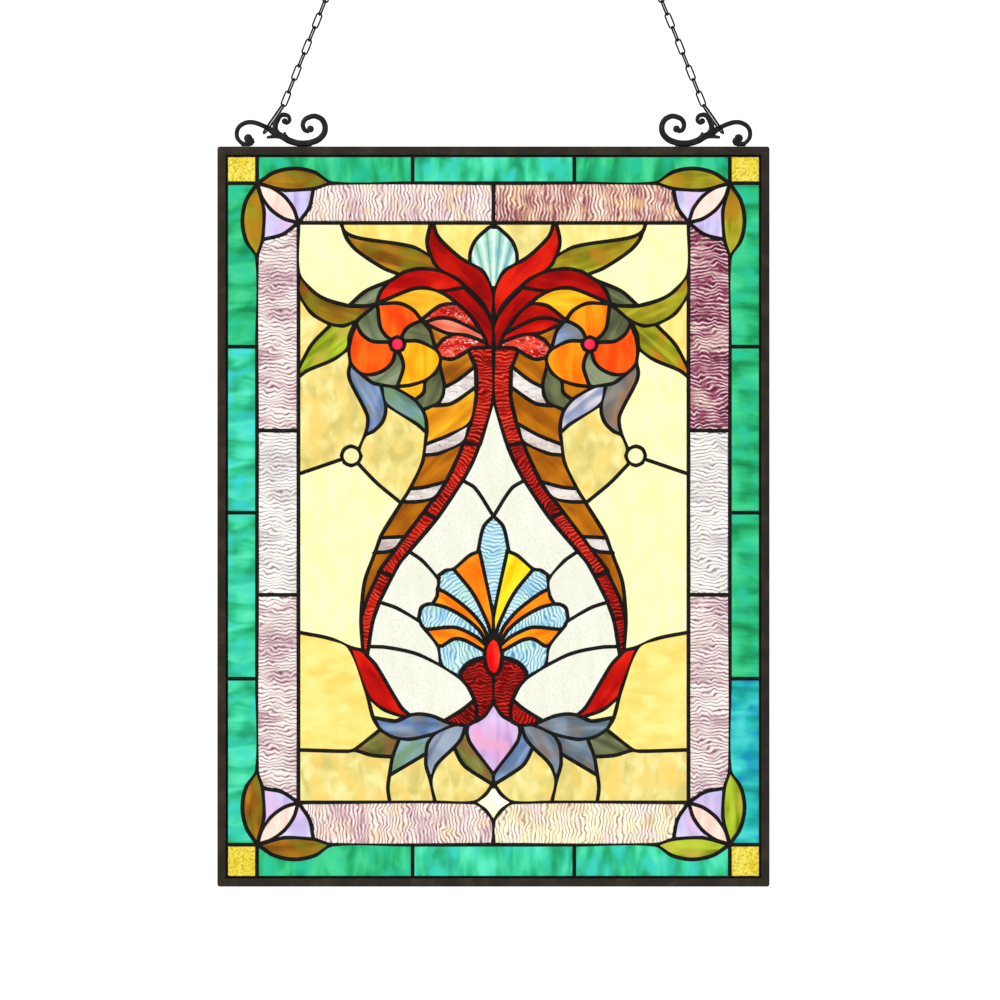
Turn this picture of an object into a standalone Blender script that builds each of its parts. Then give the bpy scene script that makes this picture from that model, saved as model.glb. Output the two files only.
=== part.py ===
# Leaded glass window panel that hangs from two chains.
# The panel stands in the X-Z plane, its front faces -Y, and +Z is up.
# It is drawn about the centre of the panel, and moved at the end so that the
# place where a hook carries the left hanging ring is the origin.

import math

import bmesh
import bpy
import numpy
from mathutils import Matrix, Vector, geometry

# Sizes of the panel and its bands, in metres
PANEL_WIDTH = 0.4572
PANEL_HEIGHT = 0.6128
FRAME_LIP = 0.0070
FRAME_DEPTH = 0.0080
FRAME_WEB = 0.0015
GREEN_SIDE = 0.0240
GREEN_TOP = 0.0215
GREEN_BOTTOM = 0.0258
RIPPLE_SIDE = 0.0343
RIPPLE_TOP = 0.0329
RIPPLE_BOTTOM = 0.0350

# Glass and solder
GLASS_THICKNESS = 0.0030
GAP = 0.0003
GLASS_IN_GROOVE = 0.0045
RIM_SEAM = 0.0015
LEAD = 0.0032
WIDE_LEAD = 0.0046
BEAD_HEIGHT = 0.0010
WALL = 0.0016
FINEST_FACET = 0.0009
CLOSEST_ON_BEADS = 0.0010
CLOSEST_ON_WALLS = 0.0004
SMALLEST_OPENING = 4.0e-6

# Corner flowers
LEAF_LENGTH = 0.0620
LEAF_OUT = 0.0122
LEAF_IN = 0.0062
ALMOND_BULGE = 0.0078
TRIANGLE_START = 9
TRIANGLE_BULGE = 0.0030

# Scroll brackets, chains and rings
BRACKET_INSET = 0.0087
BRACKET_DEPTH = 0.0045
SCROLL_SQUARE = 0.0010
STAPLE_WIRE = 0.0018
LINK_COUNT = 10
LINK_INSIDE = 0.0113
LINK_WIDTH = 0.0064
LINK_WIRE = 0.0015
LINK_BITE = 0.0003
CHAIN_LEAN = math.radians(21.8)
RING_INSIDE = 0.0120
RING_WIRE = 0.0020
RING_STEPS = 14

# Lines that follow from the sizes
SIGHT_X = PANEL_WIDTH / 2 - FRAME_LIP - GAP - RIM_SEAM
SIGHT_Z = PANEL_HEIGHT / 2 - FRAME_LIP - GAP - RIM_SEAM
GREEN_X = SIGHT_X - GREEN_SIDE
GREEN_Z_TOP = SIGHT_Z - GREEN_TOP
GREEN_Z_BOTTOM = -SIGHT_Z + GREEN_BOTTOM
FIELD_X = GREEN_X - RIPPLE_SIDE
FIELD_Z_TOP = GREEN_Z_TOP - RIPPLE_TOP
FIELD_Z_BOTTOM = GREEN_Z_BOTTOM + RIPPLE_BOTTOM
FIELD_Z = (FIELD_Z_TOP + FIELD_Z_BOTTOM) / 2
GLASS_FRONT = -GLASS_THICKNESS / 2
BEAD_BACK = GLASS_FRONT - GAP
BEAD_FRONT = BEAD_BACK - BEAD_HEIGHT
WALL_BACK = -BEAD_FRONT

# The cartoon of the middle field is drawn on squares: 200 across and 300 up,
# counted from the middle of the field. Only the left half is drawn.
SQUARE_X = FIELD_X * 2 / 200
SQUARE_Z = (FIELD_Z_TOP - FIELD_Z_BOTTOM) / 300

bpy.context.preferences.edit.use_global_undo = False
for old in list(bpy.data.objects):
    bpy.data.objects.remove(old, do_unlink=True)


# Walls run between groups of glass through the whole thickness.
# Beads lie on the front only, over the joints inside a group.
walls = []
beads = []


def field(points):
    placed = []
    for x, z in points:
        placed.append((x * SQUARE_X, FIELD_Z + z * SQUARE_Z))
    return placed


def mirrored(points):
    return [(-x, z) for x, z in points]


def smooth(points):
    if len(points) < 3:
        return list(points)
    soft = []
    for i in range(len(points) - 1):
        before = Vector(points[max(i - 1, 0)])
        here = Vector(points[i])
        there = Vector(points[i + 1])
        after = Vector(points[min(i + 2, len(points) - 1)])
        for step in range(4):
            t = step / 4
            curve = here * 2 + (there - before) * t
            curve += (before * 2 - here * 5 + there * 4 - after) * t * t
            curve += (here * 3 - before - there * 3 + after) * t * t * t
            soft.append((curve.x / 2, curve.y / 2))
    soft.append(tuple(points[-1]))
    return soft


def thin(points, facet):
    if len(points) < 3:
        return list(points)
    start = Vector(points[0])
    end = Vector(points[-1])
    along = end - start
    worst = 0.0
    where = 0
    for i in range(1, len(points) - 1):
        offset = Vector(points[i]) - start
        if along.length < 1e-9:
            away = offset.length
        else:
            away = abs(along.x * offset.y - along.y * offset.x) / along.length
        if away > worst:
            worst = away
            where = i
    if worst <= facet:
        return [points[0], points[-1]]
    return thin(points[:where + 1], facet)[:-1] + thin(points[where:], facet)


def draw(points, through, lead=LEAD, both=True):
    line = thin(smooth(points), FINEST_FACET)
    for side in (line, mirrored(line)) if both else (line,):
        beads.append((side, lead))
        if through:
            walls.append(side)


def cartoon(points, through=False, lead=LEAD, both=True):
    draw(field(points), through, lead, both)


def bow(start, end, rise, steps=12):
    start = Vector(start)
    end = Vector(end)
    middle = (start + end) / 2
    half = (end - start) / 2
    side = Vector((-half.y, half.x)).normalized()
    radius = (half.length ** 2 + rise ** 2) / (2 * abs(rise))
    sweep = math.asin(min(1.0, half.length / radius))
    centre = middle + side * (rise - math.copysign(radius, rise))
    arc = []
    for i in range(steps + 1):
        angle = sweep * (2 * i / steps - 1)
        point = centre + side * math.copysign(radius, rise) * math.cos(angle)
        point += half.normalized() * radius * math.sin(angle)
        arc.append((point.x, point.y))
    return arc


def oval(centre, across, up, first, last, steps):
    points = []
    for i in range(steps + 1):
        angle = math.radians(first + (last - first) * i / steps)
        points.append((centre[0] + across * math.cos(angle), centre[1] + up * math.sin(angle)))
    return points


# Straight leads of the bands. The bottom one stops at the diamond.
DIAMOND = 9.9
draw([(-FIELD_X, FIELD_Z_TOP), (FIELD_X, FIELD_Z_TOP)], True, both=False)
draw([(-FIELD_X, FIELD_Z_TOP), (-FIELD_X, FIELD_Z_BOTTOM)], True)
draw([(-FIELD_X, FIELD_Z_BOTTOM), (-DIAMOND * SQUARE_X, FIELD_Z_BOTTOM)], True)
draw([(LEAF_LENGTH - GREEN_X, GREEN_Z_TOP), (GREEN_X - LEAF_LENGTH, GREEN_Z_TOP)], True, both=False)
draw([(LEAF_LENGTH - GREEN_X, GREEN_Z_BOTTOM), (GREEN_X - LEAF_LENGTH, GREEN_Z_BOTTOM)], True, both=False)
draw([(-GREEN_X, GREEN_Z_TOP - LEAF_LENGTH), (-GREEN_X, GREEN_Z_BOTTOM + LEAF_LENGTH)], True)
for z_band, z_edge in ((GREEN_Z_TOP, SIGHT_Z), (GREEN_Z_BOTTOM, -SIGHT_Z)):
    draw([(-GREEN_X, z_band), (-GREEN_X, z_edge)], True)
    draw([(-GREEN_X, z_band), (-SIGHT_X, z_band)], True)

# Joints between the pieces of a band
GREEN_JOINT_X = GREEN_X * 0.342
GREEN_JOINT_Z = (GREEN_Z_TOP - GREEN_Z_BOTTOM) * 0.251
RIPPLE_JOINT_Z = (FIELD_Z_TOP - FIELD_Z_BOTTOM) * 0.1417
draw([(-GREEN_JOINT_X, GREEN_Z_TOP), (-GREEN_JOINT_X, SIGHT_Z)], False)
draw([(-GREEN_JOINT_X, GREEN_Z_BOTTOM), (-GREEN_JOINT_X, -SIGHT_Z)], False)
for step in (-1, 0, 1):
    z = FIELD_Z + step * GREEN_JOINT_Z
    draw([(-GREEN_X, z), (-SIGHT_X, z)], False)
for step in (-1, 1):
    z = FIELD_Z + step * RIPPLE_JOINT_Z
    draw([(-GREEN_X, z), (-FIELD_X, z)], False)
draw([(0, FIELD_Z_TOP), (0, GREEN_Z_TOP)], False, both=False)
draw([(0, GREEN_Z_BOTTOM), (0, FIELD_Z_BOTTOM - DIAMOND * SQUARE_Z)], False, both=False)

# Corner flowers: two leaves, an almond and two small triangles
for up, band, inner in ((1, GREEN_Z_TOP, FIELD_Z_TOP), (-1, GREEN_Z_BOTTOM, FIELD_Z_BOTTOM)):
    root = (-GREEN_X, band)
    corner = (-FIELD_X, inner)
    flat_tip = (LEAF_LENGTH - GREEN_X, band)
    tall_tip = (-GREEN_X, band - up * LEAF_LENGTH)
    draw(bow(root, flat_tip, up * LEAF_OUT), True)
    draw(bow(root, tall_tip, -up * LEAF_OUT), True)
    flat_inside = bow(root, flat_tip, -up * LEAF_IN)
    tall_inside = bow(root, tall_tip, up * LEAF_IN)
    for inside, way in ((flat_inside, up), (tall_inside, -up)):
        draw(inside[:TRIANGLE_START + 1], False)
        draw(inside[TRIANGLE_START:], True)
        draw(bow(inside[TRIANGLE_START], corner, way * TRIANGLE_BULGE), True)
        draw(bow(root, corner, way * ALMOND_BULGE), False)

# Top of the field: brown leaf, flame and shell
cartoon([(-78.3, 150), (-76.5, 144.7), (-74.4, 140.4), (-71.5, 137.1), (-68.3, 134.2), (-64.3, 131.3),
         (-60, 128.7), (-55.7, 126.2), (-52.2, 125), (-48.5, 123.4)], True)
cartoon([(-77, 146), (-73.5, 143.6), (-70, 142.6), (-65, 141.4), (-60, 140.6), (-52.5, 139.7),
         (-45, 138.6), (-40, 137.1), (-37, 135.6), (-34.7, 134.2), (-32.5, 133)], True)
cartoon([(-32.2, 150), (-33.5, 145), (-34.1, 140.7), (-33.7, 136.9), (-32.4, 133.3), (-31, 130.2),
         (-29.2, 127.4), (-26.8, 125.1)], True)
cartoon([(-31, 150), (-29.6, 145.1), (-27.5, 141.8), (-24.6, 138.9), (-21.8, 136), (-18.5, 133.1),
         (-14.9, 130.6), (-11.6, 128.9), (-7.8, 126.8), (-5.3, 124.8), (-3.5, 121.9), (-2.2, 119),
         (-1, 116.4), (0, 114)], True)
cartoon([(0, 148.4), (-2.4, 147.6), (-4.2, 145.6), (-6.5, 143.4), (-9, 141.3), (-10.4, 138.8),
         (-11.3, 136.7), (-12, 134), (-12.4, 131.5), (-12.2, 129)], True)
cartoon([(0, 150), (0, 147.6)], True, both=False)
cartoon([(0, 116.5), (0, 57)], True, 0.0036, both=False)

# Red leaves above the flower
cartoon([(-74, 107.3), (-70, 111.3), (-65.4, 114.8), (-60, 117.6), (-53.6, 119.9), (-50, 121.8),
         (-45.4, 124.7), (-40, 126.1), (-35, 126.3), (-30, 125.8), (-26.8, 125.1)], True)
cartoon([(-60, 108), (-58.6, 113.2), (-56.4, 116.4), (-53.6, 119.9)])
cartoon([(-26.8, 125.1), (-22.5, 123.2), (-18, 120.5), (-14, 117)])
cartoon([(-14.4, 116.8), (-10.5, 113.5), (-7.8, 110.5), (-5, 106.8), (-2.5, 102.8), (0, 98)], False, WIDE_LEAD)
cartoon([(-59.4, 108.6), (-56, 110.3), (-52.5, 111.7), (-49, 113.3), (-45, 114.9), (-40, 116.1),
         (-35, 116.3), (-31, 115.7), (-27.5, 114.4), (-24, 112.6), (-21, 110.3), (-18.5, 108.1),
         (-15.5, 105.6), (-12.5, 102.6), (-10, 99.5), (-7.1, 95), (-5.3, 92.1), (-4, 89.5), (-2.8, 85.5)])
cartoon([(-27.5, 114.6), (-24.5, 115.2), (-21, 115.9), (-17, 116.2), (-14, 116.8)])
cartoon([(-36.4, 100.4), (-34.5, 102.2), (-32.3, 104.3), (-29.8, 106), (-26.8, 107.3), (-23.5, 108.1),
         (-18.6, 108.2)])
cartoon([(-35, 98.6), (-30, 100.5), (-25, 100.6), (-20, 99.9), (-15, 97.7), (-10, 94.6), (-6.2, 93)])
cartoon([(-34.6, 97.6), (-32.3, 96.8), (-27.5, 94.6), (-24, 93), (-20, 92.3), (-15, 92), (-10, 90.6),
         (-6, 88.8), (-3.6, 88)])
cartoon([(-29.8, 85), (-27.5, 88.1), (-25, 90.3), (-22, 91.8), (-20, 92.3)])

# Flower with its jewel
cartoon([(-59.5, 108.2), (-56, 108.4), (-52.5, 108.4), (-49, 108.5), (-45.4, 107.6), (-42.5, 106),
         (-39.8, 103.7), (-37.5, 101.2), (-36.4, 99.8), (-34.8, 97.8), (-33.2, 95.5), (-31.8, 93),
         (-31, 90.5), (-30.6, 88), (-29.8, 85.2), (-28.4, 82.3), (-27, 80.3)], True)
cartoon([(-27, 80.3), (-27.6, 77.5), (-27, 73.9), (-25.8, 70.3), (-25.2, 66.5), (-25.4, 62.7),
         (-26.6, 59), (-28.2, 56.7), (-32.5, 54.3), (-36.2, 53.2)], True)
cartoon([(-36.2, 53.2), (-38.3, 56), (-40.5, 58.6), (-42.7, 60), (-46.1, 61.7), (-49, 63.4),
         (-51.5, 65.2), (-53.8, 65.9), (-57.7, 66.2), (-61.5, 67), (-64.6, 69), (-67, 71.2),
         (-69.8, 73.5), (-71.9, 75.4), (-73.4, 77.7)], True)
cartoon([(-73.4, 77.7), (-73.7, 80.5), (-74.5, 84.6), (-73.8, 90), (-72.2, 95), (-70.6, 98.5),
         (-68.8, 100.6), (-66.9, 102), (-64.7, 103.7), (-62.6, 105.6), (-60.2, 107.8)], True)
cartoon([(-74.4, 84.5), (-73.8, 90), (-72.2, 95), (-70.8, 98)], False, WIDE_LEAD)
cartoon([(-27.6, 76.5), (-29.6, 72.8), (-32.2, 70.3), (-34.7, 68.5), (-37.8, 67.3), (-41.8, 66.2),
         (-45.4, 65.6), (-50.5, 65.2)])
cartoon([(-34.9, 68.4), (-35.1, 65.5), (-35.6, 62.8), (-37, 60.6), (-39.8, 58.8)])
cartoon([(-67.5, 71.7), (-64.5, 71.2), (-60, 72), (-56, 73.9), (-53.2, 76.2), (-51.4, 79), (-50.3, 83.6)])
cartoon([(-48.4, 83.6), (-46.9, 80), (-46.2, 75.7), (-46.8, 72), (-47.9, 69.2), (-49.4, 65)])
cartoon([(-70.6, 98), (-68.9, 94.5), (-67.4, 92.3), (-65, 90.2), (-62.5, 88.9), (-60, 88.4), (-53, 88.3)])
cartoon([(-59.6, 108), (-59.3, 103), (-58.8, 99), (-57.6, 95.2), (-55.4, 91.8), (-52.4, 89.4)])
cartoon([(-47.4, 90.5), (-45.4, 94.4), (-42.9, 96.7), (-40, 98.4), (-37.2, 99.3), (-35.6, 99)])
cartoon([(-45.8, 88.9), (-43, 89.3), (-40, 89.1), (-36.5, 88.1), (-33.2, 86.1), (-29.4, 84.4)])
cartoon(oval((-49.3, 87.2), 3.8, 3.8, 0, 360, 10))

# Side leaves
cartoon([(-100, 124), (-98.4, 121.8), (-96.2, 118.6), (-93.7, 115.7), (-91.2, 113.5), (-88, 111.4),
         (-84.8, 110.1), (-81.5, 109.2), (-78.7, 108.3), (-75.8, 107.3), (-72.6, 107), (-66, 107),
         (-62, 107.4), (-59.5, 108.2)], True)
cartoon([(-100, 113), (-98.4, 110.8), (-97.3, 108.8), (-95.5, 105.9), (-93, 103), (-90.1, 101),
         (-86.7, 99.1), (-83.3, 97.3), (-80.5, 96.7), (-77, 96.7), (-74, 97.6), (-70.6, 99.3)])
cartoon([(-83.4, 97.4), (-85.8, 94.6), (-88.3, 92.4), (-90.5, 90.3), (-92.7, 87.7), (-94.4, 85.2),
         (-96.2, 82.3), (-98, 79), (-100, 74.5)])
cartoon([(-100, 70.2), (-98, 71.8), (-95.5, 73.6), (-93, 74.5), (-89.4, 75.9), (-85, 77.8),
         (-81.5, 79.7), (-78.7, 81.7), (-76.5, 83.5), (-74.4, 85)], True)

# Two blue leaves under the flower
cartoon([(-73.4, 77.7), (-74.1, 75), (-74.3, 72), (-73.7, 69), (-72.2, 64.8), (-70.1, 60.7),
         (-67.2, 55.9), (-65.5, 53), (-64.7, 50), (-64.5, 46.4), (-64.9, 43.3), (-65.8, 40.3)], True)
cartoon([(-65.8, 40.3), (-63.3, 41), (-60.8, 42.8), (-58.6, 45), (-56.8, 47.2), (-55.6, 50.5),
         (-55.1, 53.5), (-55.2, 56.2)], True)
cartoon([(-55.2, 56.2), (-52.3, 54.8), (-50, 53.3), (-45, 49.8), (-41.8, 47.5), (-38.2, 45),
         (-34.2, 41.3)], True)
cartoon([(-55.2, 56), (-55.7, 58.8), (-56.5, 61.2), (-57.4, 64), (-57.8, 66.3)])

# Horn, its stripes and the ribbon
cartoon([(-27, 80.3), (-24.8, 79.5), (-22.1, 79.4), (-18.5, 80.5), (-15.7, 82.5), (-13.2, 84.2),
         (-10, 85.4), (-6, 85.8), (0, 85.6)], True)
cartoon([(-12.9, 84.2), (-11.7, 81.5), (-10.6, 79), (-9.5, 76.3), (-9, 73), (-9, 69), (-9, 65),
         (-8.8, 61), (-9.3, 56.5), (-10.4, 52), (-11.8, 46.5), (-13.5, 41), (-15.5, 35.5),
         (-17.6, 30), (-20, 25), (-22.2, 20), (-24.8, 15), (-28.7, 10), (-32.3, 5), (-35.6, 0),
         (-39.4, -5), (-43.8, -10), (-47.7, -15), (-51.6, -20), (-55.2, -25), (-58.4, -30),
         (-60.8, -35), (-62.8, -40), (-64.9, -45), (-66.3, -50), (-67.5, -53.5)], True)
cartoon([(-36.2, 53.2), (-34.9, 49.5), (-34.2, 45), (-34.2, 40.5), (-34.6, 37), (-35, 33),
         (-35.5, 29.5), (-36.8, 25), (-39, 20), (-41.4, 15), (-44.2, 10), (-47.3, 5), (-50.7, 0),
         (-53.8, -5), (-56.7, -10), (-59, -15), (-61.1, -20), (-62.9, -25), (-64.5, -30),
         (-65.9, -35), (-66.8, -40), (-67.3, -45), (-67.6, -50), (-67.9, -55), (-68, -60),
         (-67.7, -65), (-67, -70.8)], True)
cartoon([(0, 59), (-0.9, 56), (-1.9, 51), (-3.8, 45.3), (-5.2, 40.3), (-7.1, 35), (-9.1, 30),
         (-11.2, 25), (-13.9, 20), (-16.7, 15), (-20.3, 10), (-23.3, 5), (-26.7, 0), (-30.5, -5),
         (-34.8, -10), (-39.1, -15), (-43.4, -20), (-47.4, -25), (-50.6, -30), (-52.9, -35),
         (-55.2, -40), (-58, -45), (-59.9, -50), (-61.5, -55), (-62.6, -60), (-63.3, -65),
         (-63.6, -70), (-64.8, -74)], True)
cartoon([(-25, 65), (-22.1, 66.3), (-18.5, 68.5), (-14.9, 71.3), (-12.1, 73.5), (-9.2, 75.8)])
cartoon([(-30.2, 55.3), (-25, 55.5), (-21.4, 56.6), (-16.7, 59.4), (-13.2, 62), (-9, 65)])
cartoon([(-34.7, 35.4), (-31.1, 36.7), (-27.5, 38.3), (-23.9, 39.7), (-20.3, 41.5), (-16.7, 43.7),
         (-12.3, 46.2)])
cartoon([(-35.4, 29.8), (-31.1, 29.9), (-27.5, 30.9), (-23.9, 32.3), (-20.3, 34.1), (-15.6, 36.3)])
cartoon([(-42.8, 12.4), (-36.5, 13), (-32.9, 13.8), (-29.3, 14.7), (-24.6, 16)])
cartoon([(-47, 5.6), (-41.8, 5.6), (-38.2, 5.8), (-34.7, 6.8), (-31, 7.4)])
cartoon([(-57.9, -13), (-50, -12.8), (-45.6, -12.4)])
cartoon([(-61.4, -20.8), (-57.2, -20.6), (-53.6, -20), (-50.6, -18.6)])
cartoon([(-15.5, 36.2), (-11, 35.5), (-6.9, 34.9)])
cartoon([(-35.7, 0.4), (-29.6, -2.9)])
cartoon([(-58.8, -30.4), (-52.4, -32.6)], False, 0.0036)

# Roundel and the joints that hold it
cartoon(oval((-72.9, 29.4), 4.95, 4.95, 0, 360, 12))
cartoon([(-65.8, 40.3), (-66.9, 37.8), (-68.8, 33)])
cartoon([(-77.4, 27.8), (-82.3, 26.4), (-89.4, 24), (-95.9, 21.8), (-100, 20)])
cartoon([(-69.4, 25.4), (-66.1, 21.8), (-60.8, 16.3), (-57.2, 13.1), (-53.6, 10.2), (-47.4, 5)])

# White ground round the palmette
cartoon([(-15.8, 16.8), (-13.2, 15.6), (-10, 13.3), (-7.6, 10.2), (-6, 7), (-3.5, 4.1), (-2, 1.6),
         (0, -1.8)])
cartoon([(-43.3, -20), (-40, -22), (-37.2, -24.2), (-34.7, -26.7), (-32.5, -29.3), (-28.4, -34.2)])
cartoon([(-58.7, -46.2), (-55, -47.2), (-50, -49.2), (-45, -52.1), (-38.1, -56.2)])
cartoon([(-63.6, -69.3), (-59, -69.3), (-55, -69.7), (-50, -70.7), (-45, -71.9), (-40, -72.9),
         (-36.5, -74.2), (-32.9, -76), (-29.3, -77.8), (-26.6, -79.4)])

# Palmette: seven petals, six wedges and an oval jewel
cartoon([(0, -1.6), (-2.4, -3.5), (-4.6, -6.4), (-6, -10), (-6.9, -14.4), (-7.1, -18), (-8, -20.2)], True)
cartoon([(-8, -20.2), (-10, -20.7), (-13.2, -22.8), (-16.7, -25.7), (-20.4, -29.2)], True)
cartoon([(-20.4, -29.2), (-23.2, -29.5), (-25.6, -30.4), (-27.5, -31.8), (-28.5, -34), (-28.7, -37),
         (-28.7, -40), (-29.1, -44), (-31.2, -47.2)], True)
cartoon([(-31.2, -47.2), (-34, -47.4), (-36.6, -48.8), (-37.9, -50.7), (-38.3, -53.2), (-38, -55.8),
         (-36.8, -58.3), (-34.9, -60.6), (-32.4, -63.4), (-30.3, -66.2), (-28.5, -69)], True)
cartoon([(-28.5, -69), (-27.9, -72.5), (-27.8, -75.7), (-26.8, -79), (-24.8, -80.8), (-22.1, -82.4),
         (-19.2, -84), (-16.9, -85.6)], True)
cartoon([(-7.2, -19.4), (-6.7, -22.5), (-5.6, -27.5), (-4.4, -32.9), (-2.9, -39.1), (-2, -43.8),
         (-1, -48), (0, -53.5)])
cartoon([(0, -52), (0, -65)], False, both=False)
cartoon([(-20.3, -29.4), (-18.5, -31.8), (-16, -34.7), (-13.5, -37.8), (-11, -41), (-8.7, -45.3),
         (-6.5, -49.7), (-4.2, -54.6), (-2.3, -59), (-1, -64.5)])
cartoon([(-28.7, -39.3), (-25, -41), (-20, -44.5), (-15, -48.2), (-10, -53), (-7, -56.7),
         (-4.5, -60.5), (-2.6, -65)])
cartoon([(-31.2, -47.2), (-28.5, -47.7), (-25, -48.8), (-20, -51.2), (-15, -54.3), (-10, -58.3),
         (-7, -61.4), (-3.8, -66.5)])
cartoon([(-34.9, -60.5), (-31, -60.6), (-27.5, -60), (-24, -59.4), (-20, -59.4), (-15, -60.8),
         (-10, -63.5), (-6.5, -65.9), (-4, -68.4)])
cartoon([(-28.5, -69), (-26.3, -69), (-23.7, -67), (-21, -65.6), (-18.5, -65.2), (-15, -65.9),
         (-10, -68.4), (-6.5, -70.4), (-4.4, -71.8)])
cartoon([(-16.9, -85.6), (-17.1, -83.3), (-15.3, -80.4), (-13.2, -78.1), (-10, -76.4), (-6.5, -75.4),
         (-4.5, -75)], True, 0.0040)
cartoon(oval((0, -74.5), 4.6, 9.7, 0, 360, 12), both=False)
cartoon(oval((0, -74.5), 4.6, 9.7, 180, 360, 6), True, both=False)

# Calyx, heart and diamond under the palmette
cartoon([(-16.9, -85.6), (-14.6, -88), (-12.8, -90.6), (-11, -93.8), (-9.8, -96.8)], True)
cartoon([(-9.8, -96.8), (-12, -98.8), (-15, -101.2), (-18.4, -103.5), (-21.8, -105.3), (-25.2, -107.7)], True)
cartoon([(-9.8, -96.8), (-8.8, -100.6), (-8.6, -104.5), (-9.3, -108.3)])
cartoon([(0, -84), (0, -99)], False, both=False)
cartoon([(0, -98.2), (-3.1, -103.5), (-6.1, -106.3), (-9.5, -108.5), (-13.2, -110.2)], True)
cartoon([(-13.2, -110.2), (-18.4, -109.9), (-21.8, -109.3), (-25.2, -107.9)], True)
cartoon([(-13.2, -110.2), (-13.8, -113), (-12.7, -117.4), (-10.8, -121.3), (-8.2, -124.8),
         (-5.2, -128.7), (-2.2, -132.4), (0, -135.5)], True)
cartoon([(0, -135), (0, -142)], True, both=False)
cartoon([(0, -150 + DIAMOND), (-4.1, -145.9), (-DIAMOND, -150)], True)
cartoon([(-DIAMOND, -150), (-4.1, -154.1), (0, -150 - DIAMOND)], True)

# Side flame and the leaves along the bottom
cartoon([(-100, -61.9), (-95.1, -62.6), (-90, -63.5), (-85.1, -64.8), (-80, -66.6), (-76.5, -68.2),
         (-73.3, -69.8), (-70, -70.8), (-67, -71.4), (-64.8, -74)], True)
cartoon([(-74, -69.6), (-72.8, -72.8), (-71.5, -76), (-69.7, -81.1), (-67.9, -85.8), (-65.8, -90.9),
         (-64.1, -96.2), (-63.2, -99.7), (-62.6, -103.6), (-61.8, -106)], True)
cartoon([(-64.8, -74), (-62.5, -76), (-60.8, -78.2), (-59, -81.1), (-57.2, -84.4), (-55, -88),
         (-52.6, -92), (-50, -96.5), (-47.4, -100.6), (-44.9, -103.2), (-43, -104.8)], True)
cartoon([(-63.9, -95.6), (-60.7, -98.4), (-57.7, -101), (-54.7, -102.7), (-50.1, -104.7), (-45.4, -106)])
cartoon([(-61.8, -106), (-57.7, -106.8), (-53.4, -107.7), (-50.1, -107.9), (-47, -106.9),
         (-43.2, -104.9), (-39.7, -104.2), (-35.5, -104.4), (-31.2, -105.3), (-27.8, -106.7),
         (-25.2, -107.8)], True)
cartoon([(-61.8, -106), (-60.3, -109.2), (-58.1, -112.3)], True)
cartoon([(-58.1, -112.3), (-61.1, -114.8), (-64.1, -117), (-67.5, -119.6), (-71.5, -122.9)], True)
cartoon([(-71.5, -122.9), (-68.5, -124.2), (-65.3, -125), (-61.1, -125.8), (-56.8, -126.2),
         (-51.8, -126.4)], True)
cartoon([(-51.8, -126.4), (-52.6, -130.8), (-53.4, -136)], True)
cartoon([(-53.4, -136), (-50, -133.6), (-46.2, -131.4), (-41.9, -129.5), (-38.1, -127.4),
         (-34.7, -124.8)], True)
cartoon([(-34.7, -124.8), (-34.6, -130.8), (-33.3, -135.1), (-32.2, -139)], True)
cartoon([(-32.2, -139), (-31.2, -135.6), (-30, -132.1), (-27.8, -128.7), (-24.4, -125.2),
         (-20.2, -121.5)], True)
cartoon([(-20.2, -121.5), (-18.9, -124.8), (-16.7, -128.7), (-14.2, -131.7), (-9.9, -135),
         (-5.6, -137.6), (0, -141)], True)
cartoon([(-58.3, -112.2), (-53.9, -115.2), (-50, -116.7), (-44, -117.3), (-39.8, -116.9),
         (-34.2, -115.6), (-30, -114.3), (-27, -112.8), (-23.1, -110.9), (-20, -109.8)])
cartoon([(-48.3, -117), (-50.4, -121.8), (-51.8, -126.5)])
cartoon([(-30.2, -114.6), (-33.3, -118.7), (-34.6, -122.2), (-34.7, -125)])
cartoon([(-14.2, -110.2), (-15.4, -114.4), (-17.1, -117.9), (-20.2, -121.5)])
cartoon([(-100, -122.8), (-85, -122.9), (-74.7, -123.5), (-71.5, -122.9)], True)
cartoon([(-53.4, -136), (-54.1, -141.6), (-53.9, -145.9), (-53.2, -150)])
cartoon([(-32.2, -139), (-31.6, -142.9), (-30.8, -146.8), (-29.9, -150)])


def strips(line, width):
    quads = []
    count = len(line)
    closed = (Vector(line[0]) - Vector(line[-1])).length < 1e-6
    lefts = []
    rights = []
    for i in range(count):
        here = Vector(line[i])
        before = Vector(line[i - 1]) if i > 0 else None
        after = Vector(line[i + 1]) if i < count - 1 else None
        if closed and i == 0:
            before = Vector(line[-2])
        if closed and i == count - 1:
            after = Vector(line[1])
        into = (here - before).normalized() if before else (after - here).normalized()
        out = (after - here).normalized() if after else into
        mean = (into + out).normalized()
        side = Vector((-mean.y, mean.x))
        lean = max(0.6, side.dot(Vector((-out.y, out.x))))
        lefts.append(here + side * width / 2 / lean)
        rights.append(here - side * width / 2 / lean)
    for i in range(count - 1):
        quads.append([lefts[i], rights[i], rights[i + 1], lefts[i + 1]])
    if not closed:
        for tip in (line[0], line[-1]):
            quads.append([Vector(p) for p in oval(tip, width / 2, width / 2, 0, 315, 7)])
    return quads


def ring(half_x, half_z, width):
    quads = []
    inner = [Vector(p) for p in ((-half_x, -half_z), (half_x, -half_z), (half_x, half_z), (-half_x, half_z))]
    far_x = half_x + width
    far_z = half_z + width
    outer = [Vector(p) for p in ((-far_x, -far_z), (far_x, -far_z), (far_x, far_z), (-far_x, far_z))]
    for i in range(4):
        j = (i + 1) % 4
        quads.append([outer[i], outer[j], inner[j], inner[i]])
    return quads


def signed_area(loop):
    total = 0.0
    for i in range(len(loop)):
        a = loop[i - 1]
        b = loop[i]
        total += a[0] * b[1] - b[0] * a[1]
    return total / 2


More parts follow.
